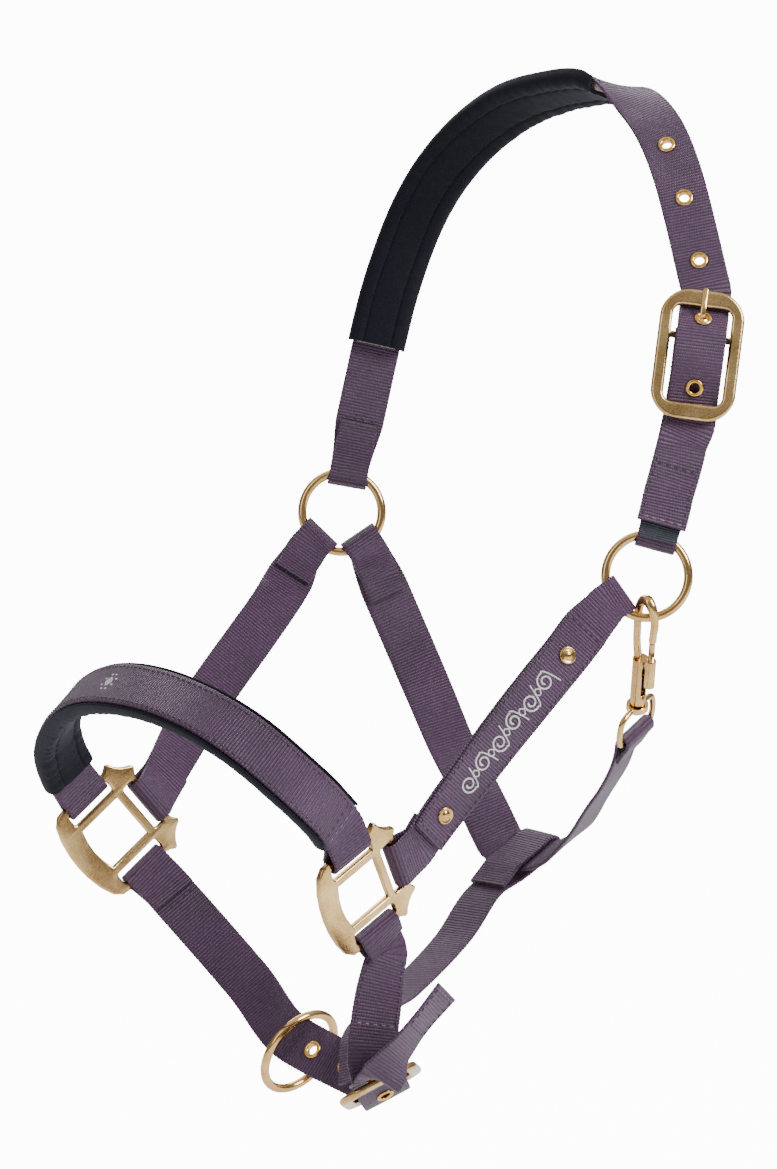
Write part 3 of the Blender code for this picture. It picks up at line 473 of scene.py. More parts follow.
def neoprene(name):
    """A smooth knit face over rubber: very fine loops and soft creases."""
    look = Look(name, 0.72, sheen=0.08, tint=(0.5, 0.55, 0.75, 1.0))
    look.shader.inputs["Specular IOR Level"].default_value = 0.22
    loops = look.grains(1500.0)
    broad = look.noise(45.0, 4.0)
    mixed = look.sum("ADD", look.sum("MULTIPLY", loops, 0.5), look.sum("MULTIPLY", broad, 0.5))
    shade = look.ramp(mixed,
                      (0.25, (3, 3, 11)), (0.75, (13, 13, 29)))
    look.colour(shade)
    look.roughness(broad, 0.62, 0.85)
    soft = look.sum("MULTIPLY", look.noise(150.0, 2.0), 1.4)
    look.bump(look.sum("ADD", look.sum("MULTIPLY", loops, 0.6), soft), 0.12, 0.5)
    return look.made


def gold(name, grain, dark, light, smooth, rough, patina=0.5):
    """Plated zinc: a fine cast grain, a broad uneven tone and small pits."""
    look = Look(name, 0.3, metallic=1.0)
    fine = look.noise(2300.0, 2.0)
    broad = look.noise(55.0, 3.0)
    tone = look.sum("MULTIPLY", broad, patina)
    tone = look.sum("ADD", tone, look.sum("MULTIPLY", fine, 1.0 - patina))
    look.colour(look.ramp(tone, (0.32, dark), (0.62, light)))
    look.roughness(fine, smooth, rough)
    pits = look.ramp(look.grains(900.0), (0.02, (0, 0, 0)), (0.14, (255, 255, 255)))
    look.bump(look.sum("ADD", look.sum("MULTIPLY", fine, grain), look.sum("MULTIPLY", pits, 0.35 * grain)),
              0.05, 0.7)
    return look.made


def steel(name):
    look = Look(name, 0.3, metallic=1.0)
    look.colour(look.ramp(look.noise(300.0), (0.3, (150, 150, 152)), (0.7, (196, 196, 198))))
    look.roughness(look.noise(900.0), 0.22, 0.42)
    look.bump(look.noise(3000.0, 1.0), 0.02, 0.5)
    return look.made


def foam(name):
    look = Look(name, 0.9, sheen=0.1)
    cells = look.grains(1100.0)
    look.colour(look.ramp(cells, (0.1, (128, 122, 108)), (0.6, (178, 172, 158))))
    look.bump(cells, 0.3, 0.8)
    return look.made


def plaster(name):
    look = Look(name, 0.9)
    look.colour(look.ramp(look.noise(3.0, 2.0), (0.3, (246, 246, 247)), (0.7, (250, 250, 251))))
    look.bump(look.noise(400.0, 2.0), 0.05, 0.2)
    seen = look.tree.nodes.new("ShaderNodeLightPath").outputs["Is Camera Ray"]
    look.shader.inputs["Emission Color"].default_value = (1.0, 1.0, 1.0, 1.0)
    look.put(look.sum("MULTIPLY", seen, 12.0), look.shader.inputs["Emission Strength"])
    return look.made


# each cloth's first colour is the painted shade in the weave's valleys, its second the colour on the
# crests
WEBBING = cloth("webbing_look", (7, 2, 9), (80, 45, 82))
SLATE = cloth("facing_look", (10, 12, 18), (40, 46, 60), rib=1.1, yarn=0.7)
NEOPRENE_LOOK = neoprene("neoprene_look")
FOAM = foam("foam_look")
GOLD = gold("gold_look", 0.5, (172, 126, 66), (244, 204, 136), 0.09, 0.19)
CAST_GOLD = gold("cast_gold_look", 1.3, (162, 118, 62), (248, 212, 148), 0.12, 0.28)
BRASS = gold("brass_look", 0.3, (206, 150, 66), (246, 200, 112), 0.12, 0.26, 0.8)
STEEL = steel("steel_look")
TONAL = sewing_thread("tonal_thread_look", (16, 8, 16), (58, 38, 56))
LILAC = sewing_thread("lilac_thread_look", (92, 70, 100), (136, 112, 146))
WHITE = sewing_thread("white_thread_look", (196, 194, 192), (240, 238, 236))


# ---------------------------------------------------------------- objects


def add_object(name, data, look, home=None):
    made = bpy.data.objects.new(name + ("_cutter" if home is CUTTERS else "_look"), data)
    bpy.context.scene.collection.objects.link(made)
    if home is CUTTERS:
        helper(made)
    else:
        PIECES[name] = made
    if look:
        made.data.materials.append(look)
    return made


def solid_from(name, shape, look, smooth_angle=40.0, home=None):
    """An object from a bmesh, shaded smooth except at edges sharper than the angle."""
    data = bpy.data.meshes.new(name)
    shape.to_mesh(data)
    shape.free()
    data.shade_smooth()
    data.set_sharp_from_angle(angle=math.radians(smooth_angle))
    return add_object(name, data, look, home)


def placement(place, x, y, z):
    """The matrix that carries local millimetre axes to a place in the world, in metres."""
    turn = Matrix((x, y, z)).transposed().to_4x4()
    return Matrix.Translation(Vector(place) * MM) @ turn


def set_origin(thing, place, turn=None):
    """Move an object's origin, and not its mesh, to a place, with an optional turn."""
    matrix = Matrix.Translation(Vector(place) * MM) @ (turn or Matrix()).to_4x4()
    thing.data.transform(matrix.inverted() @ thing.matrix_basis)
    thing.matrix_basis = matrix


def curve_mesh(name, curve, look, matrix=None, home=None):
    """A mesh object made from curve data, with its caps welded."""
    guide = bpy.data.objects.new(name + "_guide", curve)
    bpy.context.scene.collection.objects.link(guide)
    graph = bpy.context.evaluated_depsgraph_get()
    data = bpy.data.meshes.new_from_object(guide.evaluated_get(graph))
    bpy.data.objects.remove(guide, do_unlink=True)
    bpy.data.curves.remove(curve)
    shape = bmesh.new()
    shape.from_mesh(data)
    bpy.data.meshes.remove(data)
    bmesh.ops.remove_doubles(shape, verts=shape.verts, dist=1e-6)
    bmesh.ops.recalc_face_normals(shape, faces=shape.faces)
    made = solid_from(name, shape, look, home=home)
    if matrix:
        made.matrix_basis = matrix
    return made


def poly_line(curve, points, closed=False):
    line = curve.splines.new("POLY")
    line.points.add(len(points) - 1)
    for point, place in zip(line.points, points):
        point.co = (*(Vector(place).to_3d() * MM), 1.0)
    line.use_cyclic_u = closed


def wire(name, points, radius, look, matrix=None, sides=2, closed=False, radii=None):
    """A round wire on a smooth curve through the points."""
    points = np.array(points, float)
    knots = distances(points)
    at = np.linspace(0.0, knots[-1], math.ceil(knots[-1] / WIRE_STEP) + 1)
    if radii:
        radii = list(smooth(knots, np.array(radii)[:, None], at)[:, 0])
    points = smooth(knots, points, at)
    curve = bpy.data.curves.new(name, "CURVE")
    curve.dimensions = "3D"
    curve.bevel_depth = radius * MM
    curve.bevel_resolution = WIRE_SIDES
    curve.use_fill_caps = not closed
    poly_line(curve, points, closed)
    if radii:
        for point, scale in zip(curve.splines[0].points, radii):
            point.radius = scale
    return curve_mesh(name, curve, look, matrix)


def plate(name, outline, holes, thick, bevel, look, matrix, home=None):
    """A flat plate with rounded edges, from a closed outline and the outlines of its holes."""
    curve = bpy.data.curves.new(name, "CURVE")
    curve.dimensions = "2D"
    curve.fill_mode = "BOTH"
    curve.extrude = (thick / 2 - bevel) * MM
    curve.bevel_depth = bevel * MM
    curve.bevel_resolution = 6
    curve.offset = -bevel * MM
    for ring in (outline, *holes):
        poly_line(curve, ring, closed=True)
    return curve_mesh(name, curve, look, matrix, home=home)


def turned(name, profile, look, place, axis, segments=FINE_TURN, home=None):
    """A closed profile of (radius, height) turned about an axis through a place."""
    data = bpy.data.meshes.new(name)
    rows = [(radius * MM, 0.0, height * MM) for radius, height in profile]
    edges = [(i, (i + 1) % len(rows)) for i in range(len(rows))]
    data.from_pydata(rows, edges, [])
    made = add_object(name, data, look, home)
    screw = made.modifiers.new("turn", "SCREW")
    screw.steps = screw.render_steps = segments
    screw.use_merge_vertices = True
    screw.merge_threshold = 1e-6
    screw.use_smooth_shade = True
    x = square_to((0.31, 0.72, 0.62), unit(axis))
    made.matrix_basis = placement(place, x, np.cross(unit(axis), x), unit(axis))
    return made


def cut(thing, cutter, operation="DIFFERENCE"):
    modifier = thing.modifiers.new(cutter.name, "BOOLEAN")
    modifier.operation = operation
    modifier.object = cutter
    modifier.solver = "EXACT"


def cylinder(name, radius, length, place, axis, home, look=None, segments=FINE_TURN):
    """A cylinder centred on a place, along an axis."""
    shape = bmesh.new()
    bmesh.ops.create_cone(
        shape, cap_ends=True, segments=segments,
        radius1=radius * MM, radius2=radius * MM, depth=length * MM,
    )
    made = solid_from(name, shape, look, home=home)
    x = square_to((0.31, 0.72, 0.62), unit(axis))
    made.matrix_basis = placement(place, x, np.cross(unit(axis), x), unit(axis))
    return made


def block(name, size, matrix, home, look=None):
    """A box of a size, centred on a matrix's origin."""
    shape = bmesh.new()
    bmesh.ops.create_cube(shape, size=1.0)
    bmesh.ops.scale(shape, verts=shape.verts, vec=Vector(size) * MM)
    made = solid_from(name, shape, look, home=home)
    made.matrix_basis = matrix
    return made


def helper(thing):
    thing.display_type = "WIRE"
    thing.hide_render = True
    return thing


def add_uv(data, loops_uv):
    """A UV map in metres: across the piece, then along it."""
    layer = data.uv_layers.new(name="cloth")
    layer.data.foreach_set("uv", np.asarray(loops_uv, np.float32).ravel())


def swept(name, path, loop, look, scales=None, knobs=None):
    """A closed outline of (across, outward) swept along a path, with closed ends.

    scales widens or narrows the outline at each station, and knobs moves its edges in and out.
    """
    rows, columns = len(path.centre), len(loop)
    loop = np.array(loop)
    scales = np.ones(rows) if scales is None else scales
    edge = (np.abs(loop[:, 0]) > np.abs(loop[:, 0]).max() - 1.0) * np.sign(loop[:, 0])
    across = loop[None, :, 0] * scales[:, None]
    if knobs is not None:
        across = across + edge[None, :] * knobs[:, None]
    points = (
        path.centre[:, None, :]
        + path.across[:, None, :] * across[:, :, None]
        + path.face[:, None, :] * loop[None, :, 1, None]
    )
    i, j = np.meshgrid(np.arange(rows - 1), np.arange(columns), indexing="ij")
    k = (j + 1) % columns
    quads = np.stack([i * columns + j, i * columns + k, (i + 1) * columns + k,
                      (i + 1) * columns + j], axis=-1).reshape(-1, 4)
    first = list(range(columns - 1, -1, -1))
    last = [(rows - 1) * columns + c for c in range(columns)]
    data = bpy.data.meshes.new(name)
    data.from_pydata((points.reshape(-1, 3) * MM).tolist(), [], quads.tolist() + [first, last])
    u = np.concatenate(([0.0], np.cumsum(np.linalg.norm(np.diff(loop, axis=0), axis=1))))
    u_next = np.append(u[1:], u[-1] + np.linalg.norm(loop[0] - loop[-1]))
    u0, u1, v0, v1 = u[j], u_next[j], path.at[i], path.at[i + 1]
    uv = np.stack([np.stack([u0, v0], -1), np.stack([u1, v0], -1), np.stack([u1, v1], -1),
                   np.stack([u0, v1], -1)], axis=2).reshape(-1, 2)
    caps = [(u[c], path.at[0]) for c in first] + [(u[c], path.at[-1]) for c in range(columns)]
    add_uv(data, np.concatenate([uv, caps]) * MM)
    shape = bmesh.new()
    shape.from_mesh(data)
    bmesh.ops.recalc_face_normals(shape, faces=shape.faces)
    shape.to_mesh(data)
    shape.free()
    data.shade_smooth()
    data.set_sharp_from_angle(angle=math.radians(50.0))
    return add_object(name, data, look)


def band_outline(width, thick, columns=9):
    """A flat band's section, with round selvedges and a slightly crowned face."""
    half, radius = width / 2, thick / 2
    flat_half = half - radius * 0.8
    stops = np.linspace(-flat_half, flat_half, columns)
    top = [(x, radius + 0.06 * (1 - (x / half) ** 2)) for x in stops]
    edge = [(flat_half + radius * 0.8 * math.cos(a), radius * math.sin(a))
            for a in np.radians((54, 18, -18, -54))]
    bottom = [(x, -n) for x, n in reversed(top)]
    left = [(-x, -n) for x, n in edge]
    return [*top, *edge, *bottom, *left]


def woven(name, path, look, width, thick, widths=None):
    """A woven strap: fine stations, knobbly selvedges and softly rounded cut ends."""
    line, at = path.fine(WEAVE_STEP)
    scales = np.ones(len(at)) if widths is None else np.interp(at, path.at, widths)
    rounding = np.minimum(at, at[-1] - at)
    scales = scales * (1.0 - 0.012 * np.clip(1.0 - rounding / 1.2, 0.0, 1.0))
    knobs = EDGE_KNOB * np.where(np.arange(len(at)) % 2, 1.0, -1.0)
    return swept(name, line, band_outline(width, thick), look, scales, knobs)


def pinched(whole, at_start=False, at_end=False):
    """How the width narrows where a strap folds round a ring."""
    scale = np.ones(len(whole.centre))
    for end, used in ((0.0, at_start), (whole.length, at_end)):
        if used:
            gone = np.clip((np.abs(whole.at - end) - RING_BACK - 18.0) / 18.0, 0.0, 1.0)
            scale *= 1.0 - (1.0 - RING_PINCH / WEB_WIDTH) * (1.0 - gone)
    return scale


def webbing(name, path, look, width=WEB_WIDTH, widths=None):
    return woven(name, path, look, width, WEB_THICK, widths)


# ---------------------------------------------------------------- sewing

SEAMS = {}


def stitch_shape(sides=6, rings=5):
    """One stitch: a short thread a unit long that dips at both ends."""
    points, faces = [], []
    for i in range(rings):
        t = -0.92 + 1.84 * i / (rings - 1)
        radius = (1.0 - t ** 4) ** 0.5
        for j in range(sides):
            a = 2 * math.pi * j / sides
            points.append((radius * math.cos(a), t, radius * math.sin(a), t * t))
    for i in range(rings - 1):
        for j in range(sides):
            k = (j + 1) % sides
            faces.append((i * sides + j, (i + 1) * sides + j, (i + 1) * sides + k, i * sides + k))
    faces.append(tuple(range(sides)))
    faces.append(tuple((rings - 1) * sides + j for j in reversed(range(sides))))
    return np.array(points), faces


def sew(name, look, places, directions, outs, length=STITCH, thread=THREAD):
    """Add a row of stitches to the seam of that name; each lies along its direction."""
    SEAMS.setdefault((name, look.name), []).append(
        (np.array(places), np.array(directions), np.array(outs), length, thread)
    )


def seam(name, look, path, across, start, stop, rise, skew=0.0):
    """A row of stitches along a strap at a distance from its middle."""
    count = int((stop - start) / (STITCH + STITCH_GAP))
    places, directions, outs = [], [], []
    for i in range(count):
        at = start + (i + 0.5) * (stop - start) / count
        place, along, side, out = path.frame(at)
        places.append(place + side * across + out * rise)
        directions.append(along + side * skew * (-1) ** i)
        outs.append(out)
    sew(name, look, places, directions, outs)


def cross_seam(name, look, path, distance, width, rise, outward=1.0):
    """A row of stitches across a strap."""
    count = int(width / (STITCH + STITCH_GAP))
    place, along, side, out = path.frame(distance)
    places, directions = [], []
    for i in range(count):
        across = (i + 0.5) * width / count - width / 2
        places.append(place + side * across + out * rise * outward)
        directions.append(side + along * 0.08 * (-1) ** i)
    sew(name, look, places, directions, [out * outward] * count)


def satin(name, look, path, line, rise, width=1.5):
    """Embroidery: threads laid side by side across a line of (along, across) points."""
    line = np.array(line, float)
    knots = distances(line)
    at = np.arange(0.0, knots[-1], 0.42)
    line = smooth(knots, line, at)
    ahead = np.gradient(line, axis=0)
    places, directions, outs = [], [], []
    for (d, a), (u, v) in zip(line, ahead):
        place, along, side, out = path.frame(d)
        places.append(place + side * a + out * rise)
        directions.append(unit(side * u - along * v))
        outs.append(out)
    sew(name, look, places, directions, outs, width, 0.5)


def build_seams():
    """One object for each seam, from all of its stitches."""
    template, shape_faces = stitch_shape()
    looks = {look.name: look for look in (TONAL, LILAC, WHITE)}
    made = []
    for (name, look), rows in SEAMS.items():
        points, faces = [], []
        for places, directions, outs, length, thread in rows:
            for place, along, out in zip(places, directions, outs):
                along = square_to(along, unit(out))
                side = np.cross(along, unit(out))
                x, y, z, dip = template.T
                local = side * (x * thread / 2)[:, None] + along * (y * length / 2)[:, None]
                local = local + unit(out) * (z * thread * 0.42 - dip * thread * 0.5)[:, None]
                start = len(points) * len(template)
                points.append(place + local)
                faces.extend([tuple(start + i for i in face) for face in shape_faces])
        data = bpy.data.meshes.new(name)
        data.from_pydata((np.concatenate(points) * MM).tolist(), [], faces)
        data.shade_smooth()
        thing = bpy.data.objects.new(name, data)
        bpy.context.scene.collection.objects.link(thing)
        data.materials.append(looks[look])
        made.append(thing)
    return made


# ---------------------------------------------------------------- repeated fittings


def eyelet(name, path, distance, thing):
    """A brass eyelet set in a strap, with the hole that it needs."""
    place, _, _, out = path.frame(distance)
    hole, barrel, flange = EYELET_HOLE / 2, EYELET_HOLE / 2 + 0.45, EYELET_FLANGE / 2
    under = WEB_THICK / 2 + 0.25
    top = under + EYELET_RIM
    rim = (flange - hole) / 2
    half = [(hole + rim - rim * math.cos(a), under + (EYELET_RIM + 0.25) * math.sin(a))
            for a in np.radians(np.linspace(0, 180, 13))]
    half.append((barrel, under))
    profile = half + [(radius, -height) for radius, height in reversed(half)]
    made = turned(name, profile, BRASS, place, out)
    step = WEB_THICK / 2 + 0.05
    upper = ((0.0, 3.5), (flange + 0.35, 3.5), (flange + 0.35, step), (barrel + 0.35, step))
    room = upper + tuple((radius, -height) for radius, height in reversed(upper))
    cut(thing, turned(name + "_hole", room, None, place, out, home=CUTTERS))
    return made


def rivet(name, path, distance, layers):
    """A domed rivet through two layers, with a washer head on the inner side."""
    place, _, _, out = path.frame(distance)
    place = place + out * (WEB_THICK + OVERLAY_GAP) / 2
    shank, head = 1.6, RIVET_HEAD / 2
    under = WEB_THICK + OVERLAY_GAP / 2 + 0.3
    profile = (
        (0.0, under + 1.5),
        (head * 0.28, under + 1.35),
        (head * 0.5, under + 0.9),
        (head * 0.58, under + 0.5),
        (head * 0.68, under + 0.55),
        (head * 0.8, under + 1.0),
        (head * 0.93, under + 0.8),
        (head, under + 0.2),
        (head, under),
        (shank, under),
        (shank, -under),
        (head * 0.8, -under),
        (head * 0.8, -under - 0.5),
        (0.0, -under - 0.8),
    )
    made = turned(name, profile, GOLD, place, out)
    for i, layer in enumerate(layers):
        cutter = cylinder(f"{name}_hole_{i}", shank + 0.5, 12.0, place, out, CUTTERS)
        cut(layer, helper(cutter))
    return made


def ring(name, centre, axis, mean_radius):
    shape = bmesh.new()
    round_wire = bmesh.ops.create_circle(shape, segments=24, radius=RING_WIRE / 2 * MM)
    turn = Matrix.Translation((mean_radius * MM, 0, 0)) @ Matrix.Rotation(math.pi / 2, 4, "X")
    bmesh.ops.transform(shape, matrix=turn, verts=round_wire["verts"])
    bmesh.ops.spin(
        shape, geom=shape.verts[:] + shape.edges[:], cent=(0, 0, 0), axis=(0, 0, 1),
        angle=2 * math.pi, steps=120, use_merge=True,
    )
    bmesh.ops.recalc_face_normals(shape, faces=shape.faces)
    made = solid_from(name, shape, GOLD)
    x = square_to((0.31, 0.72, 0.62), unit(axis))
    made.matrix_basis = placement(centre, x, np.cross(unit(axis), x), unit(axis))
    return made


def ring_fold(centre, right, up, angle, spare=1.3, back=RING_BACK):
    """The fold of a pinched strap round a ring's wire at an angle on the ring."""
    a = math.radians(angle)
    outwards = math.cos(a) * right + math.sin(a) * up
    tangent = -math.sin(a) * right + math.cos(a) * up
    chord = math.sqrt(RING_MEAN_RADIUS**2 - (RING_PINCH / 2) ** 2)
    return Fold(centre + outwards * (chord + 0.6), tangent, RING_WIRE / 2, 7.0, back, spare)


def arc(centre, radius, start, stop, count):
    """Points on an arc, with its ends, from angles in degrees."""
    angles = np.radians(np.linspace(start, stop, count))
    return [(centre[0] + radius * math.cos(a), centre[1] + radius * math.sin(a)) for a in angles]


def rounded_rectangle(width, height, radius, count=14, centre=(0.0, 0.0)):
    points = []
    for corner, (sx, sy) in enumerate(((1, 1), (-1, 1), (-1, -1), (1, -1))):
        middle = (
            centre[0] + sx * (width / 2 - radius),
            centre[1] + sy * (height / 2 - radius),
        )
        points += arc(middle, radius, corner * 90, corner * 90 + 90, count)
    return points


def bowed_rectangle(width, height, radius, bow, count=14):
    """A rounded rectangle whose four sides bulge by bow."""
    points = []
    for x, y in rounded_rectangle(width, height, radius, count):
        points.append((
            x + math.copysign(bow, x) * (1 - (2 * y / height) ** 2),
            y + math.copysign(bow, y) * (1 - (2 * x / width) ** 2),
        ))
    return points


def square_outline():
    """The fitting's outline: three outer bars, two fishtail corners and a curved front edge.

    x runs towards the cheek strap and y towards the noseband.
    """
    side = OUTER_BAR_AT + OUTER_BAR / 2
    corner = arc((34.0, 34.0), 15.2, 249.0, 201.0, 5)
    half = [(side, 0.0), (side, 12.5), (side + 0.9, 15.5)]
    half += [(side + 2.8, 18.3), *corner, (18.3, side + 2.8)]
    half += [(15.5, side + 0.9), (12.5, side), (0.0, side), (-9.0, side)]
    half += [(-13.0, side + 1.2), (-17.5, side + 0.6), (-21.5, 23.5), (-24.3, 16.0), (-25.8, 7.5)]
    mirrored = [(x, -y) for x, y in reversed(half[1:])]
    return half + [(-26.2, 0.0)] + mirrored


def square_fitting(name, centre, towards_cheek, towards_nose, out):
    """The cast square that joins noseband, cheek strap and chin strap."""
    half = WINDOW / 2
    window = [(half, -half), (half, half), (-half, half)]
    window += [(-half - 1.6, half / 2), (-half - 2.2, 0.0), (-half - 1.6, -half / 2)]
    window += [(-half, -half)]
    slot_middle = half + SQUARE_BAR + SLOT_GAP / 2
    slots = [
        rounded_rectangle(SLOT_LENGTH, SLOT_GAP, 1.5, 8, (0.0, slot_middle)),
        rounded_rectangle(SLOT_LENGTH, SLOT_GAP, 1.5, 8, (0.0, -slot_middle)),
        rounded_rectangle(SLOT_GAP, SLOT_LENGTH, 1.5, 8, (slot_middle, 0.0)),
    ]
    x = unit(towards_cheek)
    z = square_to(out, x)
    y = np.cross(z, x)
    if np.dot(y, towards_nose) < 0:
        y, z = -y, -z
    matrix = placement(centre, x, y, z)
    made = plate(
        name, square_outline(), [window, *slots], SQUARE_THICK, 1.1, CAST_GOLD, matrix
    )
    return made, x, y


def square_fold(centre, towards, along_bar, back=28.0, outside=False):
    bar = centre + towards * OUTER_BAR_AT
    return Fold(bar, along_bar, 2.3, 0.0, back, 0.7, outside=outside)


class Buckle:
    """A rounded frame with a centre bar: x across, y towards the strap that comes in, z out."""

    WEAVE = (
        (33.0, -3.7), (25.3, -3.9), (17.6, 2.2), (9.0, 6.4),
        (0.0, 5.4), (-10.0, 1.8), (-22.5, -3.4), (-35.0, -4.0),
    )

    def __init__(self, centre, across, incoming, shift=0.0):
        self.centre = np.array(centre, float)
        self.shift = shift
        self.y = unit(incoming)
        self.x = square_to(across, self.y)
        self.z = np.cross(self.x, self.y)

    def place(self, y, z=0.0, x=0.0):
        return self.centre + self.x * x + self.y * y + self.z * z

    def weave(self):
        """The strap's way: under the first end, over the centre bar, under the other end."""
        return [(self.place(y, z, self.shift), self.z, True) for y, z in self.WEAVE]

    def build(self, name):
        matrix = placement(self.centre, self.x, self.y, self.z)
        outer = bowed_rectangle(BUCKLE_OUTER[0] - 2.4, BUCKLE_OUTER[1] - 2.4, 13.0, 1.2)
        inner = bowed_rectangle(BUCKLE_WINDOW[0] - 0.8, BUCKLE_WINDOW[1] - 0.8, 4.0, 0.4)
        frame = plate(name + "_frame", outer, [inner], BUCKLE_THICK, 1.7, CAST_GOLD, matrix)
        bar = cylinder(
            name + "_bar", BUCKLE_BAR / 2, BUCKLE_WINDOW[0] + 4.0,
            self.place(BUCKLE_BAR_AT), self.x, CUTTERS,
        )
        cut(frame, helper(bar), "UNION")
        return frame

    def tongue(self, name):
        """A wire bent round the centre bar, up through the eyelet and over the frame's end."""
        loop = BUCKLE_BAR / 2 + 0.35 + TONGUE_WIRE / 2
        points = [
            (0.0, BUCKLE_BAR_AT + loop * math.cos(math.radians(a)), loop * math.sin(math.radians(a)))
            for a in range(25, 271, 35)
        ]
        shaft = ((9.0, -loop), (13.0, -loop), (15.4, -2.4), (16.7, -0.2), (17.6, 2.2))
        shaft += ((18.6, 4.5), (21.6, 5.4), (28.5, 4.5), (32.0, 4.0))
        points += [(0.0, y, z) for y, z in shaft]
        matrix = placement(self.centre, self.x, self.y, self.z)
        made = wire(name + "_tongue", points, TONGUE_WIRE / 2, GOLD, matrix, sides=1)
        pivot = self.place(BUCKLE_BAR_AT)
        set_origin(made, pivot, matrix.to_3x3())
        return made

    def bar_fold(self, back):
        """The fold of the strap that holds the buckle by its centre bar."""
        return Fold(self.place(BUCKLE_BAR_AT), self.x, BUCKLE_BAR / 2, 0.0, back, 0.3)

    def tongue_slot(self, name, thing):
        """The slot in that fold, which leaves room for the tongue's loop."""
        matrix = placement(self.place(BUCKLE_BAR_AT - 1.0), self.x, self.y, self.z)
        cut(thing, helper(block(name, (TONGUE_WIRE + 1.6, 13.0, 14.0), matrix, CUTTERS)))


# ---------------------------------------------------------------- the snap hook

SNAP_BARREL = (4.0, 28.0)
SNAP_BORE = 2.3
SNAP_REACH = 54.5
BOLT_AT = 8.2
HOOK_MIDDLE = 2.25
HOOK_WIRE = 2.1
EYE_HALF = 15.0
EYE_DROP = 19.0
EYE_WIRE = 1.6


def snap_body(matrix):
    """Barrel with its bore and slot, the hook above it and the swivel stem below it."""
    radius, length = SNAP_BARREL
    hook = [(-1.2, 0, 24.0), (-2.6, 0, 29.0), (-3.9, 0, 35.0), (-4.5, 0, 45.0), (-4.5, 0, 54.0)]
    hook += [(-3.3, 0, 59.7), (-0.7, 0, 63.4), (2.25, 0, 65.0), (5.2, 0, 63.4), (7.8, 0, 59.7)]
    hook += [(9.0, 0, 54.0), (8.6, 0, 48.5), (BOLT_AT, 0, 43.5)]
    swell = [1.1, 1.0, 0.95, 0.95, 1.0, 1.05, 1.25, 1.35, 1.25, 1.05, 1.0, 0.95, 0.95]
    body = wire("snap_body", hook, HOOK_WIRE, GOLD, matrix, sides=2, radii=swell)
    place = np.array(matrix.translation) / MM
    axis = np.array(matrix.col[2][:3])
    barrel = cylinder("snap_barrel", radius, length, place + axis * length / 2, axis, CUTTERS)
    stem = cylinder("snap_stem", 2.0, 6.0, place - axis * 2.6, axis, CUTTERS)
    head = cylinder("snap_head", 3.4, 1.6, place - axis * 5.0, axis, CUTTERS)
    bore = cylinder("snap_bore", SNAP_BORE, 22.0, place + axis * 13.5, axis, CUTTERS)
    slot = matrix @ Matrix.Translation(Vector((3.0, 0.0, 14.6)) * MM)
    for piece in (barrel, stem, head):
        cut(body, helper(piece), "UNION")
    cut(body, helper(bore))
    cut(body, helper(block("snap_slot", (6.0, 2.8, 17.0), slot, CUTTERS)))
    return body


def snap_bolt(matrix):
    """The pin that closes the hook, its thumb slide, and the plunger that the spring pushes."""
    place = np.array(matrix.translation) / MM
    x, axis = np.array(matrix.col[0][:3]), np.array(matrix.col[2][:3])
    side = place + x * BOLT_AT
    bolt = cylinder("snap_bolt", 2.7, 16.0, side + axis * 23.5, axis, None, GOLD)
    pin = cylinder("snap_pin", 1.6, 14.0, side + axis * 35.4, axis, CUTTERS)
    plunger = cylinder("snap_plunger", SNAP_BORE - 0.4, 6.0, place + axis * 19.0, axis, CUTTERS)
    neck = matrix @ Matrix.Translation(Vector((BOLT_AT / 2, 0.0, 19.5)) * MM)
    cut(bolt, helper(pin), "UNION")
    cut(bolt, helper(plunger), "UNION")
    cut(bolt, helper(block("snap_neck", (BOLT_AT, 2.0, 3.2), neck, CUTTERS)), "UNION")
    return bolt


def snap_spring(matrix):
    turns, bottom, top, steps = 6, 3.1, 15.4, 10
    points = []
    for i in range(turns * steps + 1):
        angle = 2 * math.pi * i / steps
        height = bottom + (top - bottom) * i / (turns * steps)
        points.append((1.6 * math.cos(angle), 1.6 * math.sin(angle), height))
    return wire("snap_spring", points, 0.25, STEEL, matrix, sides=0)


def snap_eye(matrix):
    """The swivel eye: a collar round the stem and a square bail that holds the strap."""
    lower = [(5.0, 0, -2.2), (10.5, 0, -3.0), (13.6, 0, -4.6), (EYE_HALF, 0, -7.8)]
    lower += [(EYE_HALF, 0, -EYE_DROP + 2.6), (EYE_HALF - 0.8, 0, -EYE_DROP + 0.8)]
    lower += [(EYE_HALF - 2.6, 0, -EYE_DROP)]
    left = [(-x, y, z) for x, y, z in lower]
    eye = wire("snap_eye", lower + left[::-1], EYE_WIRE, GOLD, matrix, sides=1)
    place = np.array(matrix.translation) / MM
    axis = np.array(matrix.col[2][:3])
    collar = cylinder("eye_collar", 5.6, 3.2, place - axis * 2.2, axis, CUTTERS)
    cut(eye, helper(collar), "UNION")
    cut(eye, helper(cylinder("eye_hole", 2.4, 8.0, place - axis * 2.2, axis, CUTTERS)))
    return eye


# ---------------------------------------------------------------- the straps


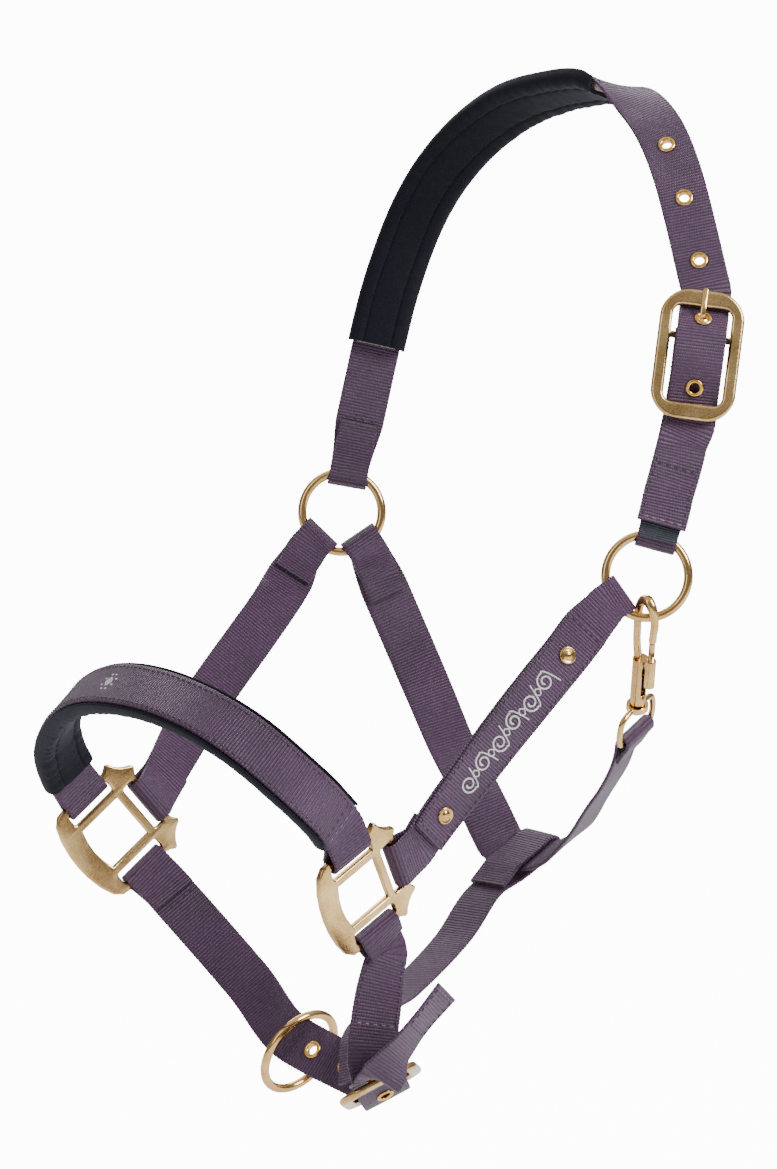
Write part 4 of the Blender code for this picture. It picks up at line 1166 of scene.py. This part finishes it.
def pad_outline():
    """The section of a padded lining: rolled rims, and an inner face with two sewn channels."""
    half, floor, wall = PAD_WIDTH / 2 + 0.1, -PAD_DEPTH, NEOPRENE
    rim = [(half + math.cos(a) * wall / 2 - wall / 2, 1.0 + math.sin(a) * wall / 2)
           for a in np.radians((150, 120, 90, 60, 30, 0))]
    side = [(half + 0.25, -0.8), (half + 0.35, -2.6), (half - 0.1, -4.4), (half - 1.3, floor + 0.2),
            (half - 3.2, floor - 0.55), (SEAM_AT + 1.5, floor - 0.75)]
    seam = [(SEAM_AT + 0.5, floor - 0.5), (SEAM_AT, floor - 0.1), (SEAM_AT - 0.5, floor - 0.5)]
    middle = [(SEAM_AT - 1.8, floor - 0.8), (3.0, floor - 0.9), (0.0, floor - 0.95)]
    inner = [(half - wall + 0.05, 0.0), (half - wall + 0.2, -2.2), (half - 2.4, -4.6),
             (5.5, floor + wall / 2)]
    right = rim + side + seam + middle
    left = [(-a, n) for a, n in reversed(right[:-1])]
    back = [(-a, n) for a, n in inner] + [(a, n) for a, n in reversed(inner)]
    return right + left + back


def lining(name, path):
    """The neoprene under a strap, softly puckered where it is sewn and bent."""
    line, at = path.fine(1.6)
    made = swept(name, line, pad_outline(), NEOPRENE_LOOK)
    pucker = 0.22 * np.sin(at * 0.83 + 1.3 * np.sin(at * 0.19)) + 0.16 * np.sin(at * 0.31 + 0.7)
    columns = len(made.data.vertices) // len(at)
    outline = np.array(pad_outline())
    soft = np.clip((-outline[:, 1] - 1.5) / 4.0, 0.0, 1.0) * (np.abs(outline[:, 0]) > SEAM_AT - 2.5)
    points = np.empty(len(made.data.vertices) * 3)
    made.data.vertices.foreach_get("co", points)
    points = points.reshape(len(at), columns, 3)
    points -= line.face[:, None, :] * (pucker[:, None] * soft[None, :])[:, :, None] * MM
    made.data.vertices.foreach_set("co", points.ravel())
    return made


def fittings():
    """Rings, squares and buckles, and the frames that the straps need."""
    right, up, out = facing(FACE_AZIMUTH, FACE_ELEVATION)
    ring("near_ring", NEAR_RING, out, RING_MEAN_RADIUS)
    ring("off_ring", OFF_RING, out, RING_MEAN_RADIUS)
    ring("lead_ring", LEAD_RING, LEAD_RING_AXIS, LEAD_MEAN_RADIUS)
    near = square_fitting("near_square", NEAR_SQUARE, (0.02, 0.88, 0.47), (0.12, -0.47, 0.87),
                          (0.99, 0.04, -0.12))
    off = square_fitting("off_square", OFF_SQUARE, (0.17, 0.76, 0.63), (-0.26, -0.59, 0.76),
                         (-0.96, 0.26, -0.09))
    return right, up, out, near, off


def crown(buckle, under, right, up, out):
    """The strap over the poll, with its pad, its way through the buckle and its free end.

    under is the short strap's line, which the free end lies on.
    """
    start = ring_fold(OFF_RING, right, up, 80.0)
    tail = under.layer(TAIL_RISE, 51.0, under.length - 7.0)
    route = [
        ((-122.0, -53.5, -161.5), -out),
        ((-124.0, -45.0, -136.5), -out),
        ((-125.5, -37.0, -110.0), -out),
        ((-125.5, -28.5, -89.0), (-0.78, 0.60, 0.0)),
        ((-122.5, -21.0, -69.5), (-0.70, 0.70, 0.1)),
        ((-110.0, -15.5, -46.0), (-0.60, 0.75, 0.2)),
        ((-92.0, -10.0, -25.5), (-0.52, 0.70, 0.4)),
        ((-66.0, -4.5, -9.0), (-0.40, 0.66, 0.6)),
        ((-35.0, -2.5, 2.5), (-0.15, 0.55, 0.8)),
        ((0.0, -1.0, 8.5), (0.0, 0.42, 0.9)),
        ((31.0, 1.0, 2.5), (0.2, -0.35, 0.9)),
        ((47.0, -1.5, -6.0), (0.38, -0.5, 0.75)),
        ((60.0, -5.5, -17.5), (0.55, -0.6, 0.5)),
        ((75.0, -12.0, -34.0), out),
        ((87.5, -17.5, -53.5), out),
        ((99.0, -22.5, -72.0), out),
        *buckle.weave(),
        *((place, face, True) for place, face in zip(tail.centre, tail.face)),
    ]
    single, whole = strap(route, start=start)
    webbing_strap = webbing("crown_strap", whole, WEBBING, widths=pinched(whole, at_start=True))
    for side in (-EDGE_SEAM, EDGE_SEAM):
        seam("crown_pad_stitches", TONAL, single, side, 70.0, 307.0, FACE_RISE)
    tip = single.length
    seam("crown_tail_stitches", TONAL, single, -EDGE_SEAM, tip - 34.0, tip - 2.0, FACE_RISE)
    seam("crown_tail_stitches", TONAL, single, EDGE_SEAM, tip - 34.0, tip - 2.0, FACE_RISE)
    for gone, thread in ((2.2, LILAC), (30.0, TONAL)):
        cross_seam("crown_tail_hem_stitches", thread, single, tip - gone, 21.0, FACE_RISE)
    for gone in (26.0, 31.0):
        cross_seam("crown_fold_stitches", TONAL, single, gone, 17.0, FACE_RISE, -1.0)
    lining("crown_pad_lining", single.layer(0.0, 66.0, 311.0))
    return single, webbing_strap


def buckle_strap(buckle, right, up, out):
    """The short strap that holds the crown buckle and the near ring, and its facing."""
    route = [
        (buckle.place(-12.0, -3.4), buckle.z, True),
        (buckle.place(-20.0, -7.2), buckle.z),
        (buckle.place(-30.0, -7.8), buckle.z),
        (buckle.place(-44.0, -6.8), out),
        ((117.5, -60.0, -177.0), out),
    ]
    start = buckle.bar_fold(14.0)
    end = ring_fold(NEAR_RING, right, up, 75.0)
    single, whole = strap(route, start=start, end=end, step=6.0)
    made = webbing("buckle_strap", whole, WEBBING, widths=pinched(whole, at_end=True))
    buckle.tongue_slot("crown_tongue_slot", made)
    offset = WEB_THICK / 2 + LAYER_GAP + 0.2 + FACING_THICK / 2
    facing_line = single.layer(offset, 38.0, single.length)
    gone = np.clip((facing_line.length - facing_line.at) / 16.0, 0.0, 1.0)
    narrowing = 1.0 - (1.0 - RING_PINCH / WEB_WIDTH) * (1.0 - gone)
    woven("buckle_strap_facing", facing_line, SLATE, 23.0, FACING_THICK, narrowing)
    back = single.length
    for gone in (26.0, 31.0):
        cross_seam("buckle_strap_stitches", TONAL, single, back - gone, 17.0, FACE_RISE, -1.0)
    return single


def near_cheek(right, up, square):
    _, cheek_side, nose_side = square
    start = ring_fold(NEAR_RING, right, up, 215.0)
    end = square_fold(NEAR_SQUARE, cheek_side, nose_side)
    route = [
        ((112.5, -117.5, -251.5), (0.92, -0.4, 0.12)),
        ((110.0, -136.0, -269.0), (0.92, -0.38, 0.12)),
        ((105.0, -171.5, -302.5), (0.96, -0.18, 0.0)),
    ]
    single, whole = strap(route, start=start, end=end, step=6.0)
    base = webbing("near_cheek_strap", whole, WEBBING, widths=pinched(whole, at_start=True))
    upper = single.layer(WEB_THICK + OVERLAY_GAP, 24.0, single.length - 19.0)
    overlay = webbing("near_cheek_overlay", upper, WEBBING, width=24.0)
    for side in (-EDGE_SEAM, EDGE_SEAM):
        seam("near_cheek_stitches", TONAL, upper, side, 2.0, upper.length - 2.0, FACE_RISE)
    cross_seam("near_cheek_hem_stitches", TONAL, upper, 2.4, 20.0, FACE_RISE)
    cross_seam("near_cheek_hem_stitches", TONAL, upper, upper.length - 2.4, 20.0, FACE_RISE)
    scrollwork("near_cheek_motif", upper, 30.0, upper.length - 27.0)
    rivet("near_cheek_rivet_upper", single, 44.0, (base, overlay))
    rivet("near_cheek_rivet_lower", single, single.length - 34.0, (base, overlay))


def off_cheek(right, up, square):
    _, cheek_side, nose_side = square
    start = ring_fold(OFF_RING, right, up, 226.0)
    end = square_fold(OFF_SQUARE, cheek_side, nose_side)
    face = (-0.9, 0.5, -0.2)
    route = [
        ((-117.0, -109.5, -256.0), face),
        ((-114.0, -138.0, -278.5), face),
        ((-108.0, -182.0, -313.5), face),
    ]
    single, whole = strap(route, start=start, end=end)
    webbing("off_cheek_strap", whole, WEBBING, widths=pinched(whole, at_start=True))
    for turn in (1.0, -1.0):
        cross_seam("off_cheek_stitches", TONAL, single, 25.0, 17.0, FACE_RISE, turn)
        cross_seam("off_cheek_stitches", TONAL, single, single.length - 20.0, 21.0, FACE_RISE, turn)


def noseband(near_square, off_square):
    _, near_cheek_side, near_nose_side = near_square
    _, off_cheek_side, off_nose_side = off_square
    start = square_fold(NEAR_SQUARE, near_nose_side, near_cheek_side)
    end = square_fold(OFF_SQUARE, off_nose_side, off_cheek_side)
    route = [
        ((110.5, -277.0, -311.5), (0.95, -0.2, 0.2)),
        ((106.5, -292.0, -295.0), (0.93, -0.22, 0.28)),
        ((95.5, -306.0, -277.5), (0.8, -0.4, 0.45)),
        ((77.0, -315.0, -266.0), (0.45, -0.55, 0.7)),
        ((52.0, -321.0, -260.0), (0.15, -0.6, 0.78)),
        ((22.0, -321.5, -259.0), (0.0, -0.63, 0.77)),
        ((-6.0, -318.0, -263.0), (-0.2, -0.6, 0.75)),
        ((-38.0, -309.0, -273.5), (-0.4, -0.55, 0.7)),
        ((-68.0, -296.5, -290.0), (-0.7, -0.4, 0.5)),
        ((-90.0, -283.0, -307.5), (-0.9, -0.2, 0.3)),
        ((-101.0, -269.0, -325.0), (-0.95, 0.0, 0.15)),
    ]
    single, whole = strap(route, start=start, end=end)
    webbing("noseband_strap", whole, WEBBING)
    end_at = single.length - 17.0
    webbing("noseband_overlay", single.layer(WEB_THICK + LAYER_GAP, 17.0, end_at), WEBBING)
    top = single.layer(WEB_THICK + LAYER_GAP, 17.0, end_at)
    for side in (-EDGE_SEAM, EDGE_SEAM):
        seam("noseband_stitches", TONAL, top, side, 2.0, top.length - 2.0, FACE_RISE)
    for i in range(2):
        for gone in (2.4 + 4.2 * i, top.length - 2.4 - 4.2 * i):
            thread = LILAC if i == 0 else TONAL
            cross_seam(f"noseband_hem_stitches_{i + 1}", thread, top, gone, 21.0, FACE_RISE)
    crest("noseband_motif", top, distance_at(top, np.array((5.0, -319.0, -261.0))))
    lining("noseband_lining", single.layer(0.0, 17.0, end_at))


def throat(right, up, eye):
    """The strap from the off ring, under the jaw, to the snap hook's eye."""
    start = ring_fold(OFF_RING, right, up, 304.0)
    bail = np.array(eye @ Vector((0.0, 0.0, -EYE_DROP * MM))) / MM
    end = Fold(bail, np.array(eye.col[0][:3]), EYE_WIRE, 0.0, 15.0, 0.5, outside=True)
    route = [
        ((-105.0, -57.5, -259.0), (-0.75, 0.6, -0.2)),
        ((-99.0, -52.0, -275.0), (-0.75, 0.6, -0.2)),
        ((-90.0, -46.5, -294.5), (-0.75, 0.6, -0.2)),
        ((-73.0, -48.5, -316.5), (-0.75, 0.5, -0.35)),
        ((-57.0, -52.0, -336.5), (-0.67, 0.40, -0.62)),
        ((-33.0, -54.0, -355.5), (-0.45, 0.4, -0.8)),
        (JUNCTION + (-17.0, 0.0, 1.5), JUNCTION_FACE, True),
        (JUNCTION + (-11.0, 0.0, 0.0), JUNCTION_FACE, True),
        (JUNCTION + (11.0, 0.0, 0.0), JUNCTION_FACE, True),
        (JUNCTION + (17.0, 0.0, 1.5), JUNCTION_FACE, True),
        ((45.0, -55.5, -365.5), (0.45, 0.3, -0.8)),
        ((62.0, -55.0, -345.0), (0.65, 0.35, -0.65)),
        ((77.0, -57.0, -327.5), (0.75, 0.37, -0.5)),
    ]
    single, whole = strap(route, start=start, end=end)
    webbing("throat_strap", whole, WEBBING, widths=pinched(whole, at_start=True))
    for turn in (1.0, -1.0):
        cross_seam("throat_stitches", TONAL, single, 25.0, 17.0, FACE_RISE, turn)
    cross_seam("throat_hem_stitches", LILAC, whole, whole.length - 2.2, 21.0, FACE_RISE)
    return single


def connector(throat_line, chin_line):
    """The strap from the throat strap, which it loops round, to the chin strap's inner face."""
    place, along, across, _ = throat_line.frame(distance_at(throat_line, JUNCTION))
    forward = across * math.copysign(1.0, np.dot(across, CHIN_JOIN - place))
    start = Fold(
        place - forward * WEB_WIDTH / 2, along, WEB_THICK / 2, 27.0, 44.0, 1.9, away=forward
    )
    place, along, across, out = chin_line.frame(distance_at(chin_line, CHIN_JOIN))
    last = np.array((19.5, -156.0, -439.0))
    onwards = square_to(place - last, out)
    under = place - out * (WEB_THICK + 4.2)
    route = [
        ((12.0, -107.0, -416.5), (0.0, 0.45, -0.89)),
        (last, (0.0, 0.55, -0.83)),
        (under - onwards * 18.0, out),
        (under - onwards * 6.0, out),
        (under + onwards * 5.0, out),
    ]
    _, whole = strap(route, start=start)
    webbing("chin_connector_strap", whole, WEBBING, width=24.0)


def chin(off_square, near_square):
    """The chin strap with its buckle, and the short strap that holds the buckle."""
    _, off_cheek_side, off_nose_side = off_square
    _, near_cheek_side, near_nose_side = near_square
    buckle = Buckle(CHIN_BUCKLE, CHIN_BUCKLE_ACROSS, -CHIN_BUCKLE_ALONG)
    outer = np.array((-0.12, 0.81, -0.56))
    start = square_fold(OFF_SQUARE, -off_nose_side, off_cheek_side)
    route = [
        ((-61.0, -211.0, -410.0), (-0.75, 0.63, -0.18)),
        ((-34.0, -203.5, -434.0), (-0.6, 0.7, -0.3), True),
        ((0.0, -205.0, -455.0), outer, True),
        ((17.0, -203.5, -459.5), outer, True),
        ((35.0, -200.0, -464.0), outer, True),
        (CHIN_JOIN, (0.05, 0.78, -0.62), True),
        *buckle.weave(),
        ((118.5, -247.5, -446.5), (0.75, -0.45, -0.5)),
        ((122.5, -239.0, -435.0), (0.8, -0.1, -0.6)),
        ((126.5, -226.5, -421.0), (0.8, 0.1, -0.6)),
        ((131.0, -213.5, -406.5), (0.85, 0.1, -0.5)),
    ]
    single, whole = strap(route, start=start)
    made = webbing("chin_strap", whole, WEBBING)
    tip = single.length
    for gone in (20.0, 25.0):
        for turn in (1.0, -1.0):
            cross_seam("chin_fold_stitches", TONAL, single, gone, 21.0, FACE_RISE, turn)
    for turn in (1.0, -1.0):
        cross_seam("chin_tail_stitches", LILAC, single, tip - 2.2, 21.0, FACE_RISE, turn)
        cross_seam("chin_tail_stitches_2", TONAL, single, tip - 24.0, 21.0, FACE_RISE, turn)
    for side in (-EDGE_SEAM, EDGE_SEAM):
        seam("chin_tail_stitches_2", TONAL, single, side, tip - 24.0, tip - 2.0, FACE_RISE)
    short_start = square_fold(NEAR_SQUARE, -near_nose_side, near_cheek_side, 14.0, outside=True)
    short_route = [
        ((95.5, -227.0, -405.0), (0.95, -0.25, 0.0)),
        ((99.0, -233.0, -426.0), (0.85, -0.45, -0.1)),
        (buckle.place(-25.5, -14.0), (0.65, -0.6, -0.45)),
        (buckle.place(-20.0, -8.0), buckle.z),
        (buckle.place(-12.0, -3.6), buckle.z, True),
    ]
    short_single, short_whole = strap(
        short_route, start=short_start, end=buckle.bar_fold(18.0), step=6.0
    )
    short = webbing("chin_buckle_strap", short_whole, WEBBING)
    cross_seam("chin_short_stitches", LILAC, short_whole, 2.4, 21.0, FACE_RISE)
    cross_seam("chin_short_stitches", LILAC, short_single, 50.0, 21.0, FACE_RISE)
    for side in (-EDGE_SEAM, EDGE_SEAM):
        seam("chin_short_edge_stitches", TONAL, short_single, side, 16.0, 50.0, FACE_RISE)
    buckle.tongue_slot("chin_tongue_slot", short)
    return buckle, single, made


def scrollwork(name, path, start, stop):
    """A running scroll of embroidered curls with a small diamond between each two."""
    curls = 6
    pitch = (stop - start) / curls
    for i in range(curls):
        middle = start + (i + 0.5) * pitch
        side = 1.0 if i % 2 else -1.0
        curl = []
        for step in range(37):
            t = step / 36
            angle = math.radians(-110.0 + 520.0 * t)
            radius = 4.6 * (1.0 - 0.72 * t)
            curl.append((middle + radius * math.cos(angle), side * (radius * math.sin(angle) - 0.5)))
        satin(name, WHITE, path, curl, FACE_RISE, 1.1)
        tail = [
            (middle - 1.8 - 2.6 * t, side * (-5.4 - 0.2 * t + 4.4 * t * t))
            for t in np.linspace(0, 1.6, 9)
        ]
        satin(name, WHITE, path, tail, FACE_RISE, 0.9)
        if i:
            joint = middle - pitch / 2
            gem = [(joint - 1.9, 0.0), (joint, 1.9), (joint + 1.9, 0.0), (joint, -1.9)]
            gem.append(gem[0])
            satin(name, WHITE, path, gem, FACE_RISE, 0.8)


def crest(name, path, middle):
    """A small embroidered device: a diamond in a ring of dots over two bars."""
    for size in (1.0, 2.4):
        gem = [(middle - size, 0.0), (middle, size), (middle + size, 0.0), (middle, -size),
               (middle - size, 0.0)]
        satin(name, WHITE, path, gem, FACE_RISE, 0.9)
    for i in range(8):
        a = math.radians(45.0 * i + 22.5)
        d, across = middle + 5.0 * math.cos(a), 5.0 * math.sin(a)
        satin(name, WHITE, path, [(d - 0.6, across), (d + 0.6, across)], FACE_RISE, 1.2)


def eyelets(name, path, strap_object, tongue_at, offsets):
    """Eyelets at whole pitches from the one that the tongue goes through."""
    for i, offset in enumerate(offsets):
        eyelet(f"{name}_{i + 1}", path, tongue_at + offset, strap_object)


def main():
    right, up, out, near, off = fittings()
    buckle = Buckle(CROWN_BUCKLE, right, CROWN_BUCKLE_UP, shift=0.5)
    under = buckle_strap(buckle, right, up, out)
    crown_line, crown_strap = crown(buckle, under, right, up, out)
    buckle.build("crown_buckle")
    buckle.tongue("crown_buckle")
    tongue_at = distance_at(crown_line, buckle.place(17.6, 2.2))
    eyelets("crown_eyelet", crown_line, crown_strap, tongue_at, (-103.0, -70.0, -35.0, 0.0, 36.0))
    near_cheek(right, up, near)
    off_cheek(right, up, off)
    noseband(near, off)
    on_ring = math.radians(SNAP_ON_RING)
    held = NEAR_RING + (math.cos(on_ring) * right + math.sin(on_ring) * up) * RING_MEAN_RADIUS
    z = unit(SNAP_UP)
    x, eye_x = square_to(SNAP_SIDE, z), square_to(EYE_SIDE, z)
    base = held - z * SNAP_REACH - x * HOOK_MIDDLE
    snap = placement(base, x, np.cross(z, x), z)
    eye = placement(base, eye_x, np.cross(z, eye_x), z)
    snap_body(snap)
    snap_bolt(snap)
    snap_spring(snap)
    snap_eye(eye)
    throat_line = throat(right, up, eye)
    buckle, chin_line, chin_strap = chin(off, near)
    connector(throat_line, chin_line)
    buckle.build("chin_buckle")
    buckle.tongue("chin_buckle")
    tongue_at = distance_at(chin_line, buckle.place(17.6, 2.2))
    pitches = range(-3, 3)
    eyelets("chin_eyelet", chin_line, chin_strap, tongue_at, [22.0 * i for i in pitches])


def distance_at(path, place):
    """The distance along a path of the point nearest to a place."""
    at = np.linspace(0.0, path.length, 2000)
    gaps = np.linalg.norm(smooth(path.at, path.centre, at) - place, axis=1)
    return at[np.argmin(gaps)]


# ---------------------------------------------------------------- the finished pieces


def baked(piece, look):
    """Turn a piece's modifiers into mesh, because a piece moves and its cutters don't."""
    if piece.modifiers:
        flat = piece.modifiers.new("flat faces", "WEIGHTED_NORMAL")
        flat.keep_sharp = True
    graph = bpy.context.evaluated_depsgraph_get()
    data = bpy.data.meshes.new_from_object(piece.evaluated_get(graph))
    piece.modifiers.clear()
    data.materials.clear()
    data.materials.append(look)
    data.polygons.foreach_set("material_index", [0] * len(data.polygons))
    piece.data = data


def dress():
    """Bake every look with its material, hide the frame node that it stands for and put the look on that
    node's body; then add the seams and give the pad cores foam.
    """
    for name, piece in PIECES.items():
        baked(piece, piece.data.materials[0])
    for thing in list(bpy.data.objects):
        if thing.name.endswith("_cutter"):
            bpy.data.objects.remove(thing, do_unlink=True)
    for name, piece in PIECES.items():
        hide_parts(name)
        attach(piece, body_of[name])
    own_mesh(PIECES["snap_spring"])
    for thing in build_seams():
        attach(thing, "straps")
    for name in ("crown_pad_core", "noseband_core"):
        for slot in frame["nodes"][name].material_slots:
            slot.material = FOAM


def soft_light(name, place, size, power):
    light = bpy.data.lights.new(name, "AREA")
    light.shape = "RECTANGLE"
    light.size, light.size_y = size
    light.energy = power
    thing = bpy.data.objects.new(name, light)
    bpy.context.scene.collection.objects.link(thing)
    thing.location = place
    thing.rotation_euler = (Vector(LOOK_AT) - thing.location).to_track_quat("-Z", "Y").to_euler()
    return thing


def studio():
    """A plain pale floor, a soft bright room, three soft lights and the camera."""
    shape = bmesh.new()
    bmesh.ops.create_grid(shape, x_segments=8, y_segments=8, size=30.0)
    data = bpy.data.meshes.new("floor")
    shape.to_mesh(data)
    shape.free()
    floor = bpy.data.objects.new("floor", data)
    bpy.context.scene.collection.objects.link(floor)
    floor.location = (0.0, 0.0, FLOOR_AT)
    data.materials.append(plaster("floor_look"))
    world = bpy.data.worlds.new("room")
    world.use_nodes = True
    tree = world.node_tree
    way = tree.nodes.new("ShaderNodeTexCoord")
    parts = tree.nodes.new("ShaderNodeSeparateXYZ")
    height = tree.nodes.new("ShaderNodeMapRange")
    height.inputs["From Min"].default_value = -1.0
    shades = tree.nodes.new("ShaderNodeValToRGB")
    tones = ((0.0, 0.10), (0.45, 0.14), (0.56, 0.42), (0.72, 0.50), (0.86, 1.2), (1.0, 1.5))
    while len(shades.color_ramp.elements) < len(tones):
        shades.color_ramp.elements.new(0.5)
    for point, (at, tone) in zip(shades.color_ramp.elements, tones):
        point.position = at
        point.color = (tone, tone, tone, 1.0)
    tree.links.new(way.outputs["Generated"], parts.inputs[0])
    tree.links.new(parts.outputs[2], height.inputs["Value"])
    tree.links.new(height.outputs[0], shades.inputs[0])
    tree.links.new(shades.outputs[0], tree.nodes["Background"].inputs["Color"])
    tree.nodes["Background"].inputs["Strength"].default_value = 0.6
    bpy.context.scene.world = world
    right, up, out = facing(FACE_AZIMUTH, FACE_ELEVATION)
    target = np.array(LOOK_AT)
    soft_light("key", target + out * 1.1 + up * 1.2 + right * 1.6, (0.9, 1.3), 66.0)
    soft_light("fill", target + out * 1.7 + up * 0.7 - right * 1.5, (0.8, 1.6), 9.0)
    soft_light("rim", target - out * 1.2 + up * 1.5 - right * 0.3, (1.5, 0.7), 22.0)
    camera = bpy.data.cameras.new("camera")
    camera.sensor_fit = "VERTICAL"
    camera.sensor_height = 36.0
    camera.lens = camera.sensor_height * CAMERA_AWAY / VIEW_HEIGHT
    thing = bpy.data.objects.new("camera", camera)
    bpy.context.scene.collection.objects.link(thing)
    thing.matrix_basis = placement((target + out * CAMERA_AWAY) / MM, right, up, out)
    bpy.context.scene.camera = thing


main()
dress()
studio()
bpy.context.view_layer.update()
